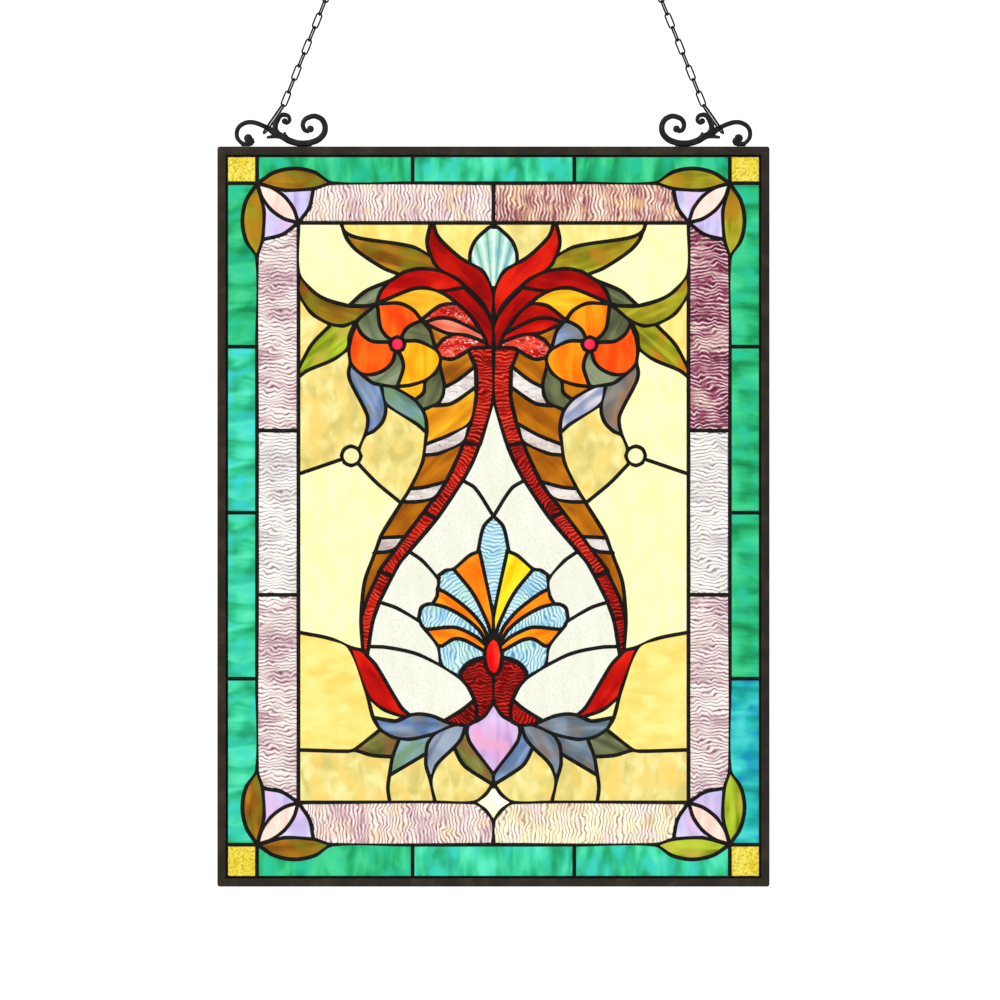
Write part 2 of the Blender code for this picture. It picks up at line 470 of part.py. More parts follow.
def cleaned(loop, nearest, flatness):
    loop = list(loop)
    changed = True
    while changed and len(loop) > 3:
        changed = False
        for i in range(len(loop)):
            a = Vector(loop[i - 1])
            b = Vector(loop[i])
            c = Vector(loop[(i + 1) % len(loop)])
            span = (c - a).length
            away = abs((c - a).cross(b - a)) / span if span > 1e-9 else 0.0
            if away < flatness or ((b - a).length < nearest and away < nearest / 2):
                loop.pop(i)
                changed = True
                break
    return loop


def hull(points):
    """The points of a convex shape, in order round it."""
    spots = sorted((p[0], p[1]) for p in points)
    around = []
    for way in (spots, spots[::-1]):
        chain = []
        for spot in way:
            while len(chain) > 1 and signed_area([chain[-2], chain[-1], spot]) <= 0:
                chain.pop()
            chain.append(spot)
        around += chain[:-1]
    return [Vector(p) for p in around]


def united(polygons, smallest, closest):
    """Joins overlapping shapes and gives the loops round what they cover."""
    corners = []
    fences = []
    shapes = []
    for polygon in polygons:
        polygon = hull(polygon)
        if signed_area(polygon) < 1e-9:
            continue
        first = len(corners)
        count = len(polygon)
        fences.extend((first + i, first + (i + 1) % count) for i in range(count))
        corners.extend(polygon)
        shapes.append(polygon)
    made = geometry.delaunay_2d_cdt(corners, fences, [], 0, 1e-6, True)
    places, triangles = made[0], made[2]
    middles = numpy.array([sum((places[i] for i in t), Vector((0, 0))) / 3 for t in triangles])
    covered = numpy.zeros(len(triangles), dtype=bool)
    for shape in shapes:
        within = numpy.ones(len(triangles), dtype=bool)
        for i in range(len(shape)):
            a = shape[i - 1]
            b = shape[i]
            within &= (b.x - a.x) * (middles[:, 1] - a.y) > (b.y - a.y) * (middles[:, 0] - a.x)
        covered |= within
    edges = set()
    for triangle, inside in zip(triangles, covered):
        if inside:
            for i in range(3):
                edges.add((triangle[i - 1], triangle[i]))
    onward = {}
    for a, b in edges:
        if (b, a) not in edges:
            onward.setdefault(a, []).append(b)
    loops = []
    while onward:
        start = next(iter(onward))
        walk = [start]
        here = onward[start].pop()
        if not onward[start]:
            del onward[start]
        while here != start:
            choices = onward[here]
            back = places[walk[-1]] - places[here]

            def turn(there):
                ahead = places[there] - places[here]
                return (math.atan2(back.y, back.x) - math.atan2(ahead.y, ahead.x)) % (2 * math.pi)

            there = min(choices, key=turn)
            choices.remove(there)
            if not choices:
                del onward[here]
            walk.append(here)
            here = there
        loop = [(places[i].x, places[i].y) for i in walk]
        loop = cleaned(loop, closest, closest / 8)
        if abs(signed_area(loop)) > smallest:
            loops.append(loop)
    return loops


def between(loops):
    """Triangles of the area between loops: inside an odd number of them."""
    corners = []
    edges = []
    for loop in loops:
        first = len(corners)
        count = len(loop)
        corners.extend(Vector(p) for p in loop)
        edges.extend((first + i, first + (i + 1) % count) for i in range(count))
    made = geometry.delaunay_2d_cdt(corners, edges, [], 0, 1e-7, True)
    for place, number in zip(made[0], made[3]):
        if not number:
            print("two outlines cross at", [round(v * 1000, 2) for v in place])
    source = [number[0] for number in made[3]]
    triangles = [[source[i] for i in face] for face in made[2]]
    fences = set(frozenset(edge) for edge in edges)
    beside = {}
    for index, triangle in enumerate(triangles):
        for i in range(3):
            beside.setdefault(frozenset((triangle[i - 1], triangle[i])), []).append(index)
    depth = {}
    waiting = []
    for edge, owners in beside.items():
        if len(owners) == 1 and owners[0] not in depth:
            depth[owners[0]] = 1 if edge in fences else 0
            waiting.append(owners[0])
    while waiting:
        index = waiting.pop()
        triangle = triangles[index]
        for i in range(3):
            edge = frozenset((triangle[i - 1], triangle[i]))
            for other in beside[edge]:
                if other not in depth:
                    depth[other] = depth[index] + (1 if edge in fences else 0)
                    waiting.append(other)
    return [t for index, t in enumerate(triangles) if depth[index] % 2 == 1]


def node(name, mesh_data, color, rough, metal=0.0):
    corners, faces = mesh_data
    mesh = bpy.data.meshes.new(name)
    mesh.from_pydata([tuple(c) for c in corners], [], faces)
    body = bmesh.new()
    body.from_mesh(mesh)
    bmesh.ops.recalc_face_normals(body, faces=body.faces)
    body.to_mesh(mesh)
    body.free()
    made = bpy.data.objects.new(name, mesh)
    bpy.context.scene.collection.objects.link(made)
    paint(made, color, rough, metal)
    return made


def paint(made, color, rough, metal=0.0):
    material = bpy.data.materials.new(made.name)
    material.use_nodes = True
    shader = material.node_tree.nodes["Principled BSDF"]
    shader.inputs["Base Color"].default_value = (*color, 1)
    shader.inputs["Roughness"].default_value = rough
    shader.inputs["Metallic"].default_value = metal
    made.data.materials.clear()
    made.data.materials.append(material)


def slab(loops, front, back):
    corners = []
    faces = []
    flat = [p for loop in loops for p in loop]
    count = len(flat)
    corners += [(x, front, z) for x, z in flat]
    corners += [(x, back, z) for x, z in flat]
    for a, b, c in between(loops):
        faces.append((a, b, c))
        faces.append((count + c, count + b, count + a))
    first = 0
    for loop in loops:
        size = len(loop)
        for i in range(size):
            a = first + i
            b = first + (i + 1) % size
            faces.append((a, count + a, count + b, b))
        first += size
    return corners, faces


def net(bead_loops, wall_loops, front, middle, back):
    corners = []
    faces = []
    bead_flat = [p for loop in bead_loops for p in loop]
    wall_flat = [p for loop in wall_loops for p in loop]
    beads_here = len(bead_flat)
    walls_here = len(wall_flat)
    corners += [(x, front, z) for x, z in bead_flat]
    corners += [(x, middle, z) for x, z in bead_flat]
    corners += [(x, middle, z) for x, z in wall_flat]
    corners += [(x, back, z) for x, z in wall_flat]
    for a, b, c in between(bead_loops):
        faces.append((a, b, c))
    for a, b, c in between(bead_loops + wall_loops):
        faces.append((beads_here + c, beads_here + b, beads_here + a))
    last = beads_here * 2 + walls_here
    for a, b, c in between(wall_loops):
        faces.append((last + c, last + b, last + a))
    for loops, first, step in ((bead_loops, 0, beads_here), (wall_loops, beads_here * 2, walls_here)):
        for loop in loops:
            size = len(loop)
            for i in range(size):
                a = first + i
                b = first + (i + 1) % size
                faces.append((a, step + a, step + b, b))
            first += size
    return corners, faces


# Solder net: beads with all their openings, and walls behind the main ones
METAL = (0.055, 0.050, 0.048)
bead_shapes = []
for line, lead in beads:
    bead_shapes += strips(line, lead)
bead_shapes += ring(SIGHT_X, SIGHT_Z, RIM_SEAM)
bead_loops = united(bead_shapes, SMALLEST_OPENING, CLOSEST_ON_BEADS)
wall_shapes = []
for line in walls:
    wall_shapes += strips(line, WALL)
wall_loops = united(wall_shapes, SMALLEST_OPENING, CLOSEST_ON_WALLS)
wall_loops = [loop for loop in wall_loops if signed_area(loop) < 0 or abs(signed_area(loop)) > 1e-3]
node("solder_net", net(bead_loops, wall_loops, BEAD_FRONT, BEAD_BACK, WALL_BACK), METAL, 0.45, 0.8)

# Glass: one plate for each group, seated between the walls and in the frame's groove
space_shapes = ring(SIGHT_X + GLASS_IN_GROOVE, SIGHT_Z + GLASS_IN_GROOVE, 0.02)
for line in walls:
    space_shapes += strips(line, WALL + 2 * GAP)
for side in (-1, 1):
    for z_band, z_edge in ((GREEN_Z_TOP, 1), (GREEN_Z_BOTTOM, -1)):
        space_shapes += strips([(side * GREEN_X, z_band), (side * GREEN_X, z_edge * PANEL_HEIGHT / 2)], WALL + 2 * GAP)
        space_shapes += strips([(side * GREEN_X, z_band), (side * PANEL_WIDTH / 2, z_band)], WALL + 2 * GAP)
seats = [loop for loop in united(space_shapes, SMALLEST_OPENING, CLOSEST_ON_WALLS) if signed_area(loop) < 0]

CREAM = (0.87, 0.78, 0.42)
SQUARES = [
    ("cream_corner", (-88, 135), (0.90, 0.85, 0.50), (0.86, 0.80, 0.47)),
    ("cream_top", (-55, 145), CREAM, CREAM),
    ("cream_crown", (-20, 143), CREAM, CREAM),
    ("leaf_top", (-55, 133), (0.42, 0.20, 0.03), (0.35, 0.36, 0.09)),
    ("side_leaves", (-85, 88), (0.55, 0.55, 0.06), (0.52, 0.42, 0.07)),
    ("flower", (-62, 80), (0.90, 0.33, 0.04), (0.85, 0.24, 0.03)),
    ("crown", (-40, 121), (0.72, 0.05, 0.03), (0.62, 0.05, 0.03)),
    ("blue_leaves", (-62, 55), (0.28, 0.38, 0.52), (0.58, 0.52, 0.60)),
    ("horn", (-28, 48), (0.82, 0.42, 0.04), (0.76, 0.36, 0.04)),
    ("ribbon", (-5, 75), (0.60, 0.03, 0.02), (0.58, 0.03, 0.03)),
    ("ground_upper", (-85, 50), (0.88, 0.76, 0.38), (0.86, 0.75, 0.40)),
    ("cream_low", (-85, -95), (0.89, 0.78, 0.38), (0.87, 0.77, 0.40)),
    ("ground_bottom", (-80, -138), (0.84, 0.76, 0.40), (0.82, 0.72, 0.38)),
    ("side_flame", (-62, -83), (0.80, 0.07, 0.03), (0.74, 0.06, 0.03)),
    ("bottom_leaves", (-45, -111), (0.30, 0.38, 0.50), (0.36, 0.42, 0.40)),
]
groups = []
for name, seed, left_color, right_color in SQUARES:
    x, z = field([seed])[0]
    groups.append((name + "_left", (x, z), left_color))
    groups.append((name + "_right", (-x, z), right_color))
for name, seed, color in (
    ("shell", (0, 138), (0.70, 0.82, 0.78)),
    ("vase_ground", (0, 30), (0.90, 0.90, 0.84)),
    ("palmette", (0, -20), (0.50, 0.72, 0.80)),
    ("calyx", (-7, -90), (0.36, 0.02, 0.02)),
    ("heart", (0, -115), (0.72, 0.52, 0.62)),
    ("diamond", (0, -150), (0.93, 0.93, 0.62)),
):
    groups.append((name, field([seed])[0], color))
YELLOW = (0.95, 0.84, 0.05)
GREEN = (0.02, 0.38, 0.24)
BLUE_GREEN = (0.02, 0.46, 0.48)
for name, side, up in (("left", -1, 1), ("right", 1, 1), ("left", -1, -1), ("right", 1, -1)):
    level = "top" if up > 0 else "bottom"
    band = GREEN_Z_TOP if up > 0 else GREEN_Z_BOTTOM
    groups.append((f"square_{level}_{name}", (side * (SIGHT_X - 0.008), up * (SIGHT_Z - 0.008)), YELLOW))
    seed = (side * (GREEN_X - 0.015), band - up * 0.014)
    groups.append((f"corner_flower_{level}_{name}", seed, (0.72, 0.46, 0.34)))
groups.append(("green_top", (0, SIGHT_Z - 0.008), GREEN))
groups.append(("green_bottom", (0, -SIGHT_Z + 0.008), BLUE_GREEN))
groups.append(("green_left", (-SIGHT_X + 0.008, 0), GREEN))
groups.append(("green_right", (SIGHT_X - 0.008, 0), GREEN))
groups.append(("ripple_top", (0.04, FIELD_Z_TOP + 0.012), (0.72, 0.52, 0.50)))
groups.append(("ripple_bottom", (0.04, FIELD_Z_BOTTOM - 0.016), (0.80, 0.70, 0.64)))
groups.append(("ripple_left", (-FIELD_X - 0.015, 0), (0.78, 0.64, 0.66)))
groups.append(("ripple_right", (FIELD_X + 0.015, 0), (0.70, 0.58, 0.64)))


def holds(loop, spot):
    inside = False
    for i in range(len(loop)):
        a = loop[i - 1]
        b = loop[i]
        if (a[1] > spot[1]) != (b[1] > spot[1]):
            cross = a[0] + (spot[1] - a[1]) * (b[0] - a[0]) / (b[1] - a[1])
            if spot[0] < cross:
                inside = not inside
    return inside


used = set()
for name, seed, color in groups:
    found = [i for i, loop in enumerate(seats) if holds(loop, seed)]
    if len(found) != 1 or found[0] in used:
        raise ValueError(f"{name} has no seat of its own")
    used.add(found[0])
    outline = seats[found[0]][::-1]
    node(name, slab([outline], GLASS_FRONT, -GLASS_FRONT), color, 0.15)
print("seats", len(seats), "groups", len(groups), "openings", len(bead_loops) - 1)

# Frame: a U channel bent round the glass and mitred at its corners
half_depth = FRAME_DEPTH / 2
groove = GLASS_THICKNESS / 2 + GAP
profile = [
    (0, -half_depth), (FRAME_LIP, -half_depth), (FRAME_LIP, -groove), (FRAME_WEB, -groove),
    (FRAME_WEB, groove), (FRAME_LIP, groove), (FRAME_LIP, half_depth), (0, half_depth),
]
corners = []
faces = []
for side_x, side_z in ((-1, -1), (1, -1), (1, 1), (-1, 1)):
    for inward, y in profile:
        corners.append((side_x * (PANEL_WIDTH / 2 - inward), y, side_z * (PANEL_HEIGHT / 2 - inward)))
for i in range(4):
    for j in range(8):
        a = i * 8 + j
        b = i * 8 + (j + 1) % 8
        c = ((i + 1) % 4) * 8 + (j + 1) % 8
        d = ((i + 1) % 4) * 8 + j
        faces.append((a, b, c, d))
node("frame", (corners, faces), (0.09, 0.06, 0.04), 0.45, 0.7)

# Scroll brackets: strokes that swell and taper, drawn on small squares from the
# left end of the left bracket and the top of the frame
SCROLLS = [
    ([(17, 6.4), (20.4, 5.4), (20.2, 2.7), (16.6, 1.6), (11.4, 2.7), (7.6, 7.6), (8, 14.2), (12.6, 18.7),
      (18.6, 20), (25, 18.7), (31.4, 15.9)], 3.2, 4.2),
    ([(31.4, 15.9), (36.4, 12.6), (41, 10.2)], 4.2, 7.0),
    ([(41, 10.2), (45, 7.8), (50, 5), (56, 2.8), (63, 2.2), (70, 3.4), (76, 6.4), (79.8, 11.2),
      (80.4, 17), (78, 22), (73, 24.8), (67.4, 24.4), (63.2, 21.4), (62, 17), (63.8, 13.2), (67.4, 12.4)], 5.8, 3.6),
    ([(32, 7.3), (38, 8.2), (43, 8.6)], 2.2, 5.0),
    ([(46.8, 11.8), (47.2, 9.4), (49.4, 6.4)], 2.0, 4.0),
    ([(39.6, 12), (39, 16), (40.2, 20.6), (42.9, 25), (46.8, 26.2), (50.4, 24.6), (51, 21),
      (48.6, 18.8), (46.4, 19.8)], 5.0, 2.4),
    ([(11, 1.6), (18.4, 1.6)], 3.2, 3.2),
    ([(57, 1.6), (69.4, 1.6)], 3.2, 3.2),
]
BULBS = [((16.8, 6.6), 3.7), ((68.2, 14.3), 3.1), ((47.0, 20.8), 2.7)]
start_x = BRACKET_INSET - PANEL_WIDTH / 2
top_z = PANEL_HEIGHT / 2 + GAP


def on_frame(x, z):
    return (start_x + x * SCROLL_SQUARE, top_z + z * SCROLL_SQUARE)


def swelling(line, first, last):
    quads = []
    count = len(line)
    lefts = []
    rights = []
    for i in range(count):
        before = Vector(line[max(i - 1, 0)])
        after = Vector(line[min(i + 1, count - 1)])
        along = (after - before).normalized()
        side = Vector((-along.y, along.x)) * (first + (last - first) * i / (count - 1)) / 2
        lefts.append(Vector(line[i]) + side)
        rights.append(Vector(line[i]) - side)
    for i in range(count - 1):
        quads.append([lefts[i], rights[i], rights[i + 1], lefts[i + 1]])
    return quads


scroll_shapes = []
for points, first, last in SCROLLS:
    placed = [on_frame(x, z) for x, z in points]
    path = thin(smooth(placed), 0.0004)
    scroll_shapes += swelling(path, first * SCROLL_SQUARE, last * SCROLL_SQUARE)
for (x, z), radius in BULBS:
    centre = on_frame(x, z)
    scroll_shapes.append(oval(centre, radius * SCROLL_SQUARE, radius * SCROLL_SQUARE, 0, 315, 7))
scroll_loops = united(scroll_shapes, SMALLEST_OPENING / 4, CLOSEST_ON_WALLS)
scroll_loops = [[(x, max(z, top_z)) for x, z in loop] for loop in scroll_loops]
BLACK = (0.02, 0.02, 0.022)
node("bracket_left", slab(scroll_loops, -BRACKET_DEPTH / 2, BRACKET_DEPTH / 2), BLACK, 0.5, 0.6)
scroll_loops = [[(-x, z) for x, z in loop[::-1]] for loop in scroll_loops]
node("bracket_right", slab(scroll_loops, -BRACKET_DEPTH / 2, BRACKET_DEPTH / 2), BLACK, 0.5, 0.6)


def wire_loop(centre, along, across, inside, width, wire, bend=3):
    """A long link: two straight sides and two rounded ends, in square-set wire."""
    normal = along.cross(across).normalized()
    radius = (width - wire) / 2
    reach = (inside + wire) / 2 - radius
    path = []
    for end, first in ((1, -90), (-1, 90)):
        for i in range(bend + 1):
            angle = math.radians(first + 180 * i / bend)
            grown = radius / math.cos(math.radians(90 / bend))
            go = grown * math.cos(angle)
            if i in (0, bend):
                go = 0
            aside = max(-radius, min(radius, grown * math.sin(angle)))
            path.append(centre + along * (end * reach + go) + across * aside)
    return tube(path, wire, 4, normal, True)


def tube(path, wire, sides, normal, flats=True):
    corners = []
    faces = []
    count = len(path)
    middle = sum(path, Vector()) / count
    for i in range(count):
        along = (path[(i + 1) % count] - path[i - 1]).normalized()
        outward = along.cross(normal).normalized()
        if outward.dot(path[i] - middle) < 0:
            outward = -outward
        turn = (path[i] - path[i - 1]).normalized().dot((path[(i + 1) % count] - path[i]).normalized())
        stretch = 1 / max(0.7, math.sqrt((1 + turn) / 2))
        for j in range(sides):
            angle = 2 * math.pi * (j + (0.5 if flats else 0)) / sides
            radius = wire / 2 / math.cos(math.pi / sides)
            offset = outward * radius * math.cos(angle) * stretch + normal * radius * math.sin(angle)
            corners.append(path[i] + offset)
    for i in range(count):
        for j in range(sides):
            a = i * sides + j
            b = i * sides + (j + 1) % sides
            c = ((i + 1) % count) * sides + (j + 1) % sides
            d = ((i + 1) % count) * sides + j
            faces.append((a, b, c, d))
    return corners, faces


# Long link from the scroll's stem to the chain, then the chain and its ring
STEEL = (0.10, 0.10, 0.11)
staple_low = Vector((start_x + 29.6 * SCROLL_SQUARE, 0, top_z + 10.7 * SCROLL_SQUARE))
staple_high = Vector((start_x + 46 * SCROLL_SQUARE, 0, top_z + 34.4 * SCROLL_SQUARE))
lean = (staple_high - staple_low).normalized()
front_back = Vector((0, 1, 0))
staple_inside = (staple_high - staple_low).length - STAPLE_WIRE
staple_width = BRACKET_DEPTH + 2 * STAPLE_WIRE + 0.0012
up_chain = Vector((math.sin(CHAIN_LEAN), 0, math.cos(CHAIN_LEAN)))
flat_across = Vector((math.cos(CHAIN_LEAN), 0, -math.sin(CHAIN_LEAN)))
pieces = [wire_loop((staple_low + staple_high) / 2, lean, front_back, staple_inside, staple_width, STAPLE_WIRE)]
pitch = LINK_INSIDE + LINK_BITE
first_centre = staple_high + up_chain * (LINK_INSIDE / 2 - STAPLE_WIRE / 2 + LINK_BITE)
for i in range(LINK_COUNT):
    across = flat_across if i % 2 == 0 else front_back
    centre = first_centre + up_chain * pitch * i
    pieces.append(wire_loop(centre, up_chain, across, LINK_INSIDE, LINK_WIDTH, LINK_WIRE))
chain = node("chain_left", pieces[0], STEEL, 0.35, 0.9)
bpy.context.view_layer.objects.active = chain
for i, piece in enumerate(pieces[1:]):
    tool = node(f"link_{i}", piece, STEEL, 0.35, 0.9)
    join = chain.modifiers.new("join", "BOOLEAN")
    join.operation = "UNION"
    join.solver = "EXACT"
    join.object = tool
    chain.select_set(True)
    bpy.ops.object.modifier_apply(modifier="join")
    bpy.data.objects.remove(tool, do_unlink=True)
paint(chain, STEEL, 0.35, 0.9)

last_centre = first_centre + up_chain * pitch * (LINK_COUNT - 1)
ring_radius = (RING_INSIDE + RING_WIRE) / 2
ring_low = last_centre + up_chain * (LINK_INSIDE / 2 - RING_WIRE / 2 - GAP)
ring_centre = ring_low + up_chain * ring_radius
ring_path = []
for i in range(RING_STEPS):
    angle = 2 * math.pi * i / RING_STEPS
    spot = up_chain * math.cos(angle) + flat_across * math.sin(angle)
    ring_path.append(ring_centre + spot * ring_radius)
ring_left = node("ring_left", tube(ring_path, RING_WIRE, 6, front_back, False), STEEL, 0.35, 0.9)
for name, first in (("chain_right", chain), ("ring_right", ring_left)):
    flipped = [(-v.co.x, v.co.y, v.co.z) for v in first.data.vertices]
    turned = [tuple(p.vertices)[::-1] for p in first.data.polygons]
    node(name, (flipped, turned), STEEL, 0.35, 0.9)

# The origin is where a hook carries the left ring
origin = ring_centre + up_chain * RING_INSIDE / 2
for made in bpy.data.objects:
    made.data.transform(Matrix.Translation(-origin))
    made.data.update()
print("origin from the panel's centre", [round(v, 5) for v in origin])
print("triangles", {made.name: sum(len(p.vertices) - 2 for p in made.data.polygons) for made in bpy.data.objects})
print("in all", sum(len(p.vertices) - 2 for made in bpy.data.objects for p in made.data.polygons))
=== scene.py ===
# %% [markdown]
# A leaded glass panel hangs from two chains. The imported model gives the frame, the
# solder net, a plate for each group of glass, the scroll brackets and the chains.
# This lesson dresses it: every opening of the net gets its own piece of glass, and the
# net gets rounded seams on both faces. The first step loads the model and keeps its box.
# %% Load the frame
import math

import bmesh
import bpy
from mathutils import Matrix, Vector, geometry, noise
from mathutils.bvhtree import BVHTree


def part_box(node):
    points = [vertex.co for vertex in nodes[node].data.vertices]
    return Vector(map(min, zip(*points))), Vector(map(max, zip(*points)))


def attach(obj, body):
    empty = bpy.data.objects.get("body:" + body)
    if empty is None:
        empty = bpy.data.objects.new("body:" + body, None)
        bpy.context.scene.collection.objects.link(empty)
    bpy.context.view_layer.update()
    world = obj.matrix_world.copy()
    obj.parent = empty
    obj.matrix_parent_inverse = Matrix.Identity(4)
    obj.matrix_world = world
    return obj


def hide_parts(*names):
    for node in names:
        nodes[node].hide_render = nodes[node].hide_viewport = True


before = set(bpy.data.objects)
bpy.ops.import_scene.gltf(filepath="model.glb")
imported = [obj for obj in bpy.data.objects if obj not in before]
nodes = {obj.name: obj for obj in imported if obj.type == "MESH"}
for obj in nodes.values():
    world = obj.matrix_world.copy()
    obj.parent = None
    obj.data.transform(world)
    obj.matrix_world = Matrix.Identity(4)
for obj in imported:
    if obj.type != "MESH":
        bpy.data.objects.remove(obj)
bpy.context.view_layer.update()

for held in list(bpy.context.selected_objects):
    held.select_set(False)
panel_low, panel_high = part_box("frame")
middle = (panel_low + panel_high) / 2
panel = panel_high - panel_low
print("panel", [round(v, 4) for v in panel], "middle", [round(v, 4) for v in middle])

# %% [markdown]
# The drawing that the glass is cut to, the cartoon, is kept on squares: 200 across the
# middle field and 300 up, counted from the field's centre. Names of pieces are given to
# places on those squares, so the same small functions turn a square into metres and back.
# %% The cartoon's squares
MM = 0.001
FIELD_WIDE = 323.0 * MM
FIELD_TALL = 480.0 * MM
FIELD_RISE = 3.2 * MM
GLASS_HALF = 1.5 * MM
SEAM_FOOT = 1.56 * MM
SEAM_TOP = 2.8 * MM
SQUARE_X = FIELD_WIDE / 200
SQUARE_Z = FIELD_TALL / 300


def on_panel(x, z):
    return Vector((middle.x + x, middle.z + z))


def on_cartoon(x, z):
    return on_panel(x * SQUARE_X, FIELD_RISE + z * SQUARE_Z)


print("one square is", round(SQUARE_X / MM, 3), "by", round(SQUARE_Z / MM, 3), "mm")

# %% [markdown]
# The openings of the net are the glass cutter's pattern. They could be drawn again from
# points, but the net already has them, so its front face is read: an edge that belongs
# to only one triangle of that face is on an outline, and such edges are walked in order.
# %% Read the outlines of a flat face
SAME_LEVEL = 0.00001


def outlines(node):
    mesh = node.data
    level = min(v.co.y for v in mesh.vertices)
    key = {}
    places = []

    def number(vertex):
        spot = (round(vertex.co.x, 6), round(vertex.co.z, 6))
        if spot not in key:
            key[spot] = len(places)
            places.append(Vector(spot))
        return key[spot]

    edges = set()
    for face in mesh.polygons:
        corners = [mesh.vertices[i] for i in face.vertices]
        if all(abs(v.co.y - level) < SAME_LEVEL for v in corners):
            ids = [number(v) for v in corners]
            flat = [places[i] for i in ids]
            if (flat[1] - flat[0]).cross(flat[2] - flat[0]) < 0:
                ids.reverse()
            edges.update((ids[i - 1], ids[i]) for i in range(len(ids)))
    onward = {a: b for a, b in edges if (b, a) not in edges}
    loops = []
    while onward:
        start, here = onward.popitem()
        walk = [start]
        while here != start:
            walk.append(here)
            here = onward.pop(here)
        loops.append([places[i] for i in walk])
    return loops


def area(loop):
    return sum(loop[i - 1].cross(loop[i]) for i in range(len(loop))) / 2


net_loops = sorted(outlines(nodes["solder_net"]), key=area)
rim = net_loops[-1]
openings = [loop[::-1] for loop in net_loops[:-1]]
print(len(openings), "openings inside the rim")

# %% [markdown]
# The model's outlines are made of short straight facets. Real leads run in sweeping
# curves, because foil tape is laid along a ground edge. Each stretch between two sharp
# corners is therefore redrawn as a smooth curve through the same points.
# %% Smooth an outline between its corners
SHARP = math.radians(48)
ROUND = math.radians(60)
STEP = 2.6 * MM
ROUND_STEP = 1.2 * MM
MOST_PARTS = 8
STRAIGHT = 0.05


def turning(loop, i):
    a = loop[i] - loop[i - 1]
    b = loop[(i + 1) % len(loop)] - loop[i]
    return abs(math.atan2(a.cross(b), a.dot(b)))


def curve_through(points, closed, step=STEP):
    count = len(points)
    last = count if closed else count - 1
    drawn = []
    for i in range(last):
        b, c = points[i], points[(i + 1) % count]
        a = points[i - 1] if closed or i > 0 else b * 2 - c
        d = points[(i + 2) % count] if closed or i + 2 < count else c * 2 - b
        length = (c - b).length
        bend = abs((b - a).angle(c - b, 0)) + abs((c - b).angle(d - c, 0)) if length > 1e-9 else 0
        parts = max(1, min(MOST_PARTS, round(length / step))) if bend > STRAIGHT else 1
        pull = length / max((b - a).length + length, 1e-9)
        push = length / max((d - c).length + length, 1e-9)
        leave = (c - a) * pull
        arrive = (d - b) * push
        for n in range(parts):
            t = n / parts
            drawn.append(
                b * (2 * t ** 3 - 3 * t ** 2 + 1) + leave * (t ** 3 - 2 * t ** 2 + t)
                + c * (3 * t ** 2 - 2 * t ** 3) + arrive * (t ** 3 - t ** 2))
    if not closed:
        drawn.append(points[-1])
    return drawn


def smoothed(loop, step=STEP):
    corners = [i for i in range(len(loop)) if turning(loop, i) > SHARP]
    if max(turning(loop, i) for i in range(len(loop))) < ROUND:
        return curve_through(loop, True, min(step, ROUND_STEP))
    drawn = []
    for a, b in zip(corners, corners[1:] + [corners[0] + len(loop)]):
        stretch = [loop[i % len(loop)] for i in range(a, b + 1)]
        drawn += curve_through(stretch, False, step)[:-1]
    return drawn


openings = [smoothed(loop) for loop in openings]
print("points round all openings", sum(len(loop) for loop in openings))

# %% [markdown]
# Three kinds of piece share one way of making: a flat outline with a rounded edge. The
# glass, the net and the cast scrolls all have it. A profile says how far in from the
# outline each step of the edge is and how deep it lies, and the flat middle is filled
# with triangles. Primitives can't start from such outlines, so mesh data is used.
# %% Make a flat piece with a shaped edge
def inset(loop, distance, reach=1.6):
    """The outline moved to its left by distance; acute corners move reach times that at most."""
    moved = []
    for i in range(len(loop)):
        before = (loop[i] - loop[i - 1]).normalized()
        after = (loop[(i + 1) % len(loop)] - loop[i]).normalized()
        mean = before + after
        mean = mean.normalized() if mean.length > 1e-6 else before
        side = Vector((-mean.y, mean.x))
        lean = max(1 / reach, side.dot(Vector((-after.y, after.x))))
        moved.append(loop[i] + side * distance / lean)
    return moved


def filled(loops, extra=()):
    """Triangles between loops, with extra points inside. New corners may appear where loops cross."""
    points = []
    edges = []
    for loop in loops:
        first = len(points)
        points += loop
        edges += [(first + i, first + (i + 1) % len(loop)) for i in range(len(loop))]
    points += list(extra)
    made = geometry.delaunay_2d_cdt(points, edges, [], 0, 1e-8, True)
    places, drawn, triangles = made[0], made[1], made[2]
    fences = {frozenset(edge) for edge, source in zip(drawn, made[4]) if source}
    beside = {}
    for index, triangle in enumerate(triangles):
        for i in range(3):
            beside.setdefault(frozenset((triangle[i - 1], triangle[i])), []).append(index)
    depth = {}
    waiting = []
    for edge, owners in beside.items():
        if len(owners) == 1 and owners[0] not in depth:
            depth[owners[0]] = 1 if edge in fences else 0
            waiting.append(owners[0])
    while waiting:
        index = waiting.pop()
        triangle = triangles[index]
        for i in range(3):
            edge = frozenset((triangle[i - 1], triangle[i]))
            for other in beside[edge]:
                if other not in depth:
                    depth[other] = depth[index] + (1 if edge in fences else 0)
                    waiting.append(other)
    kept = [t for i, t in enumerate(triangles) if depth[i] % 2]
    sources = [ids[0] if ids else None for ids in made[3]]
    return places, kept, sources


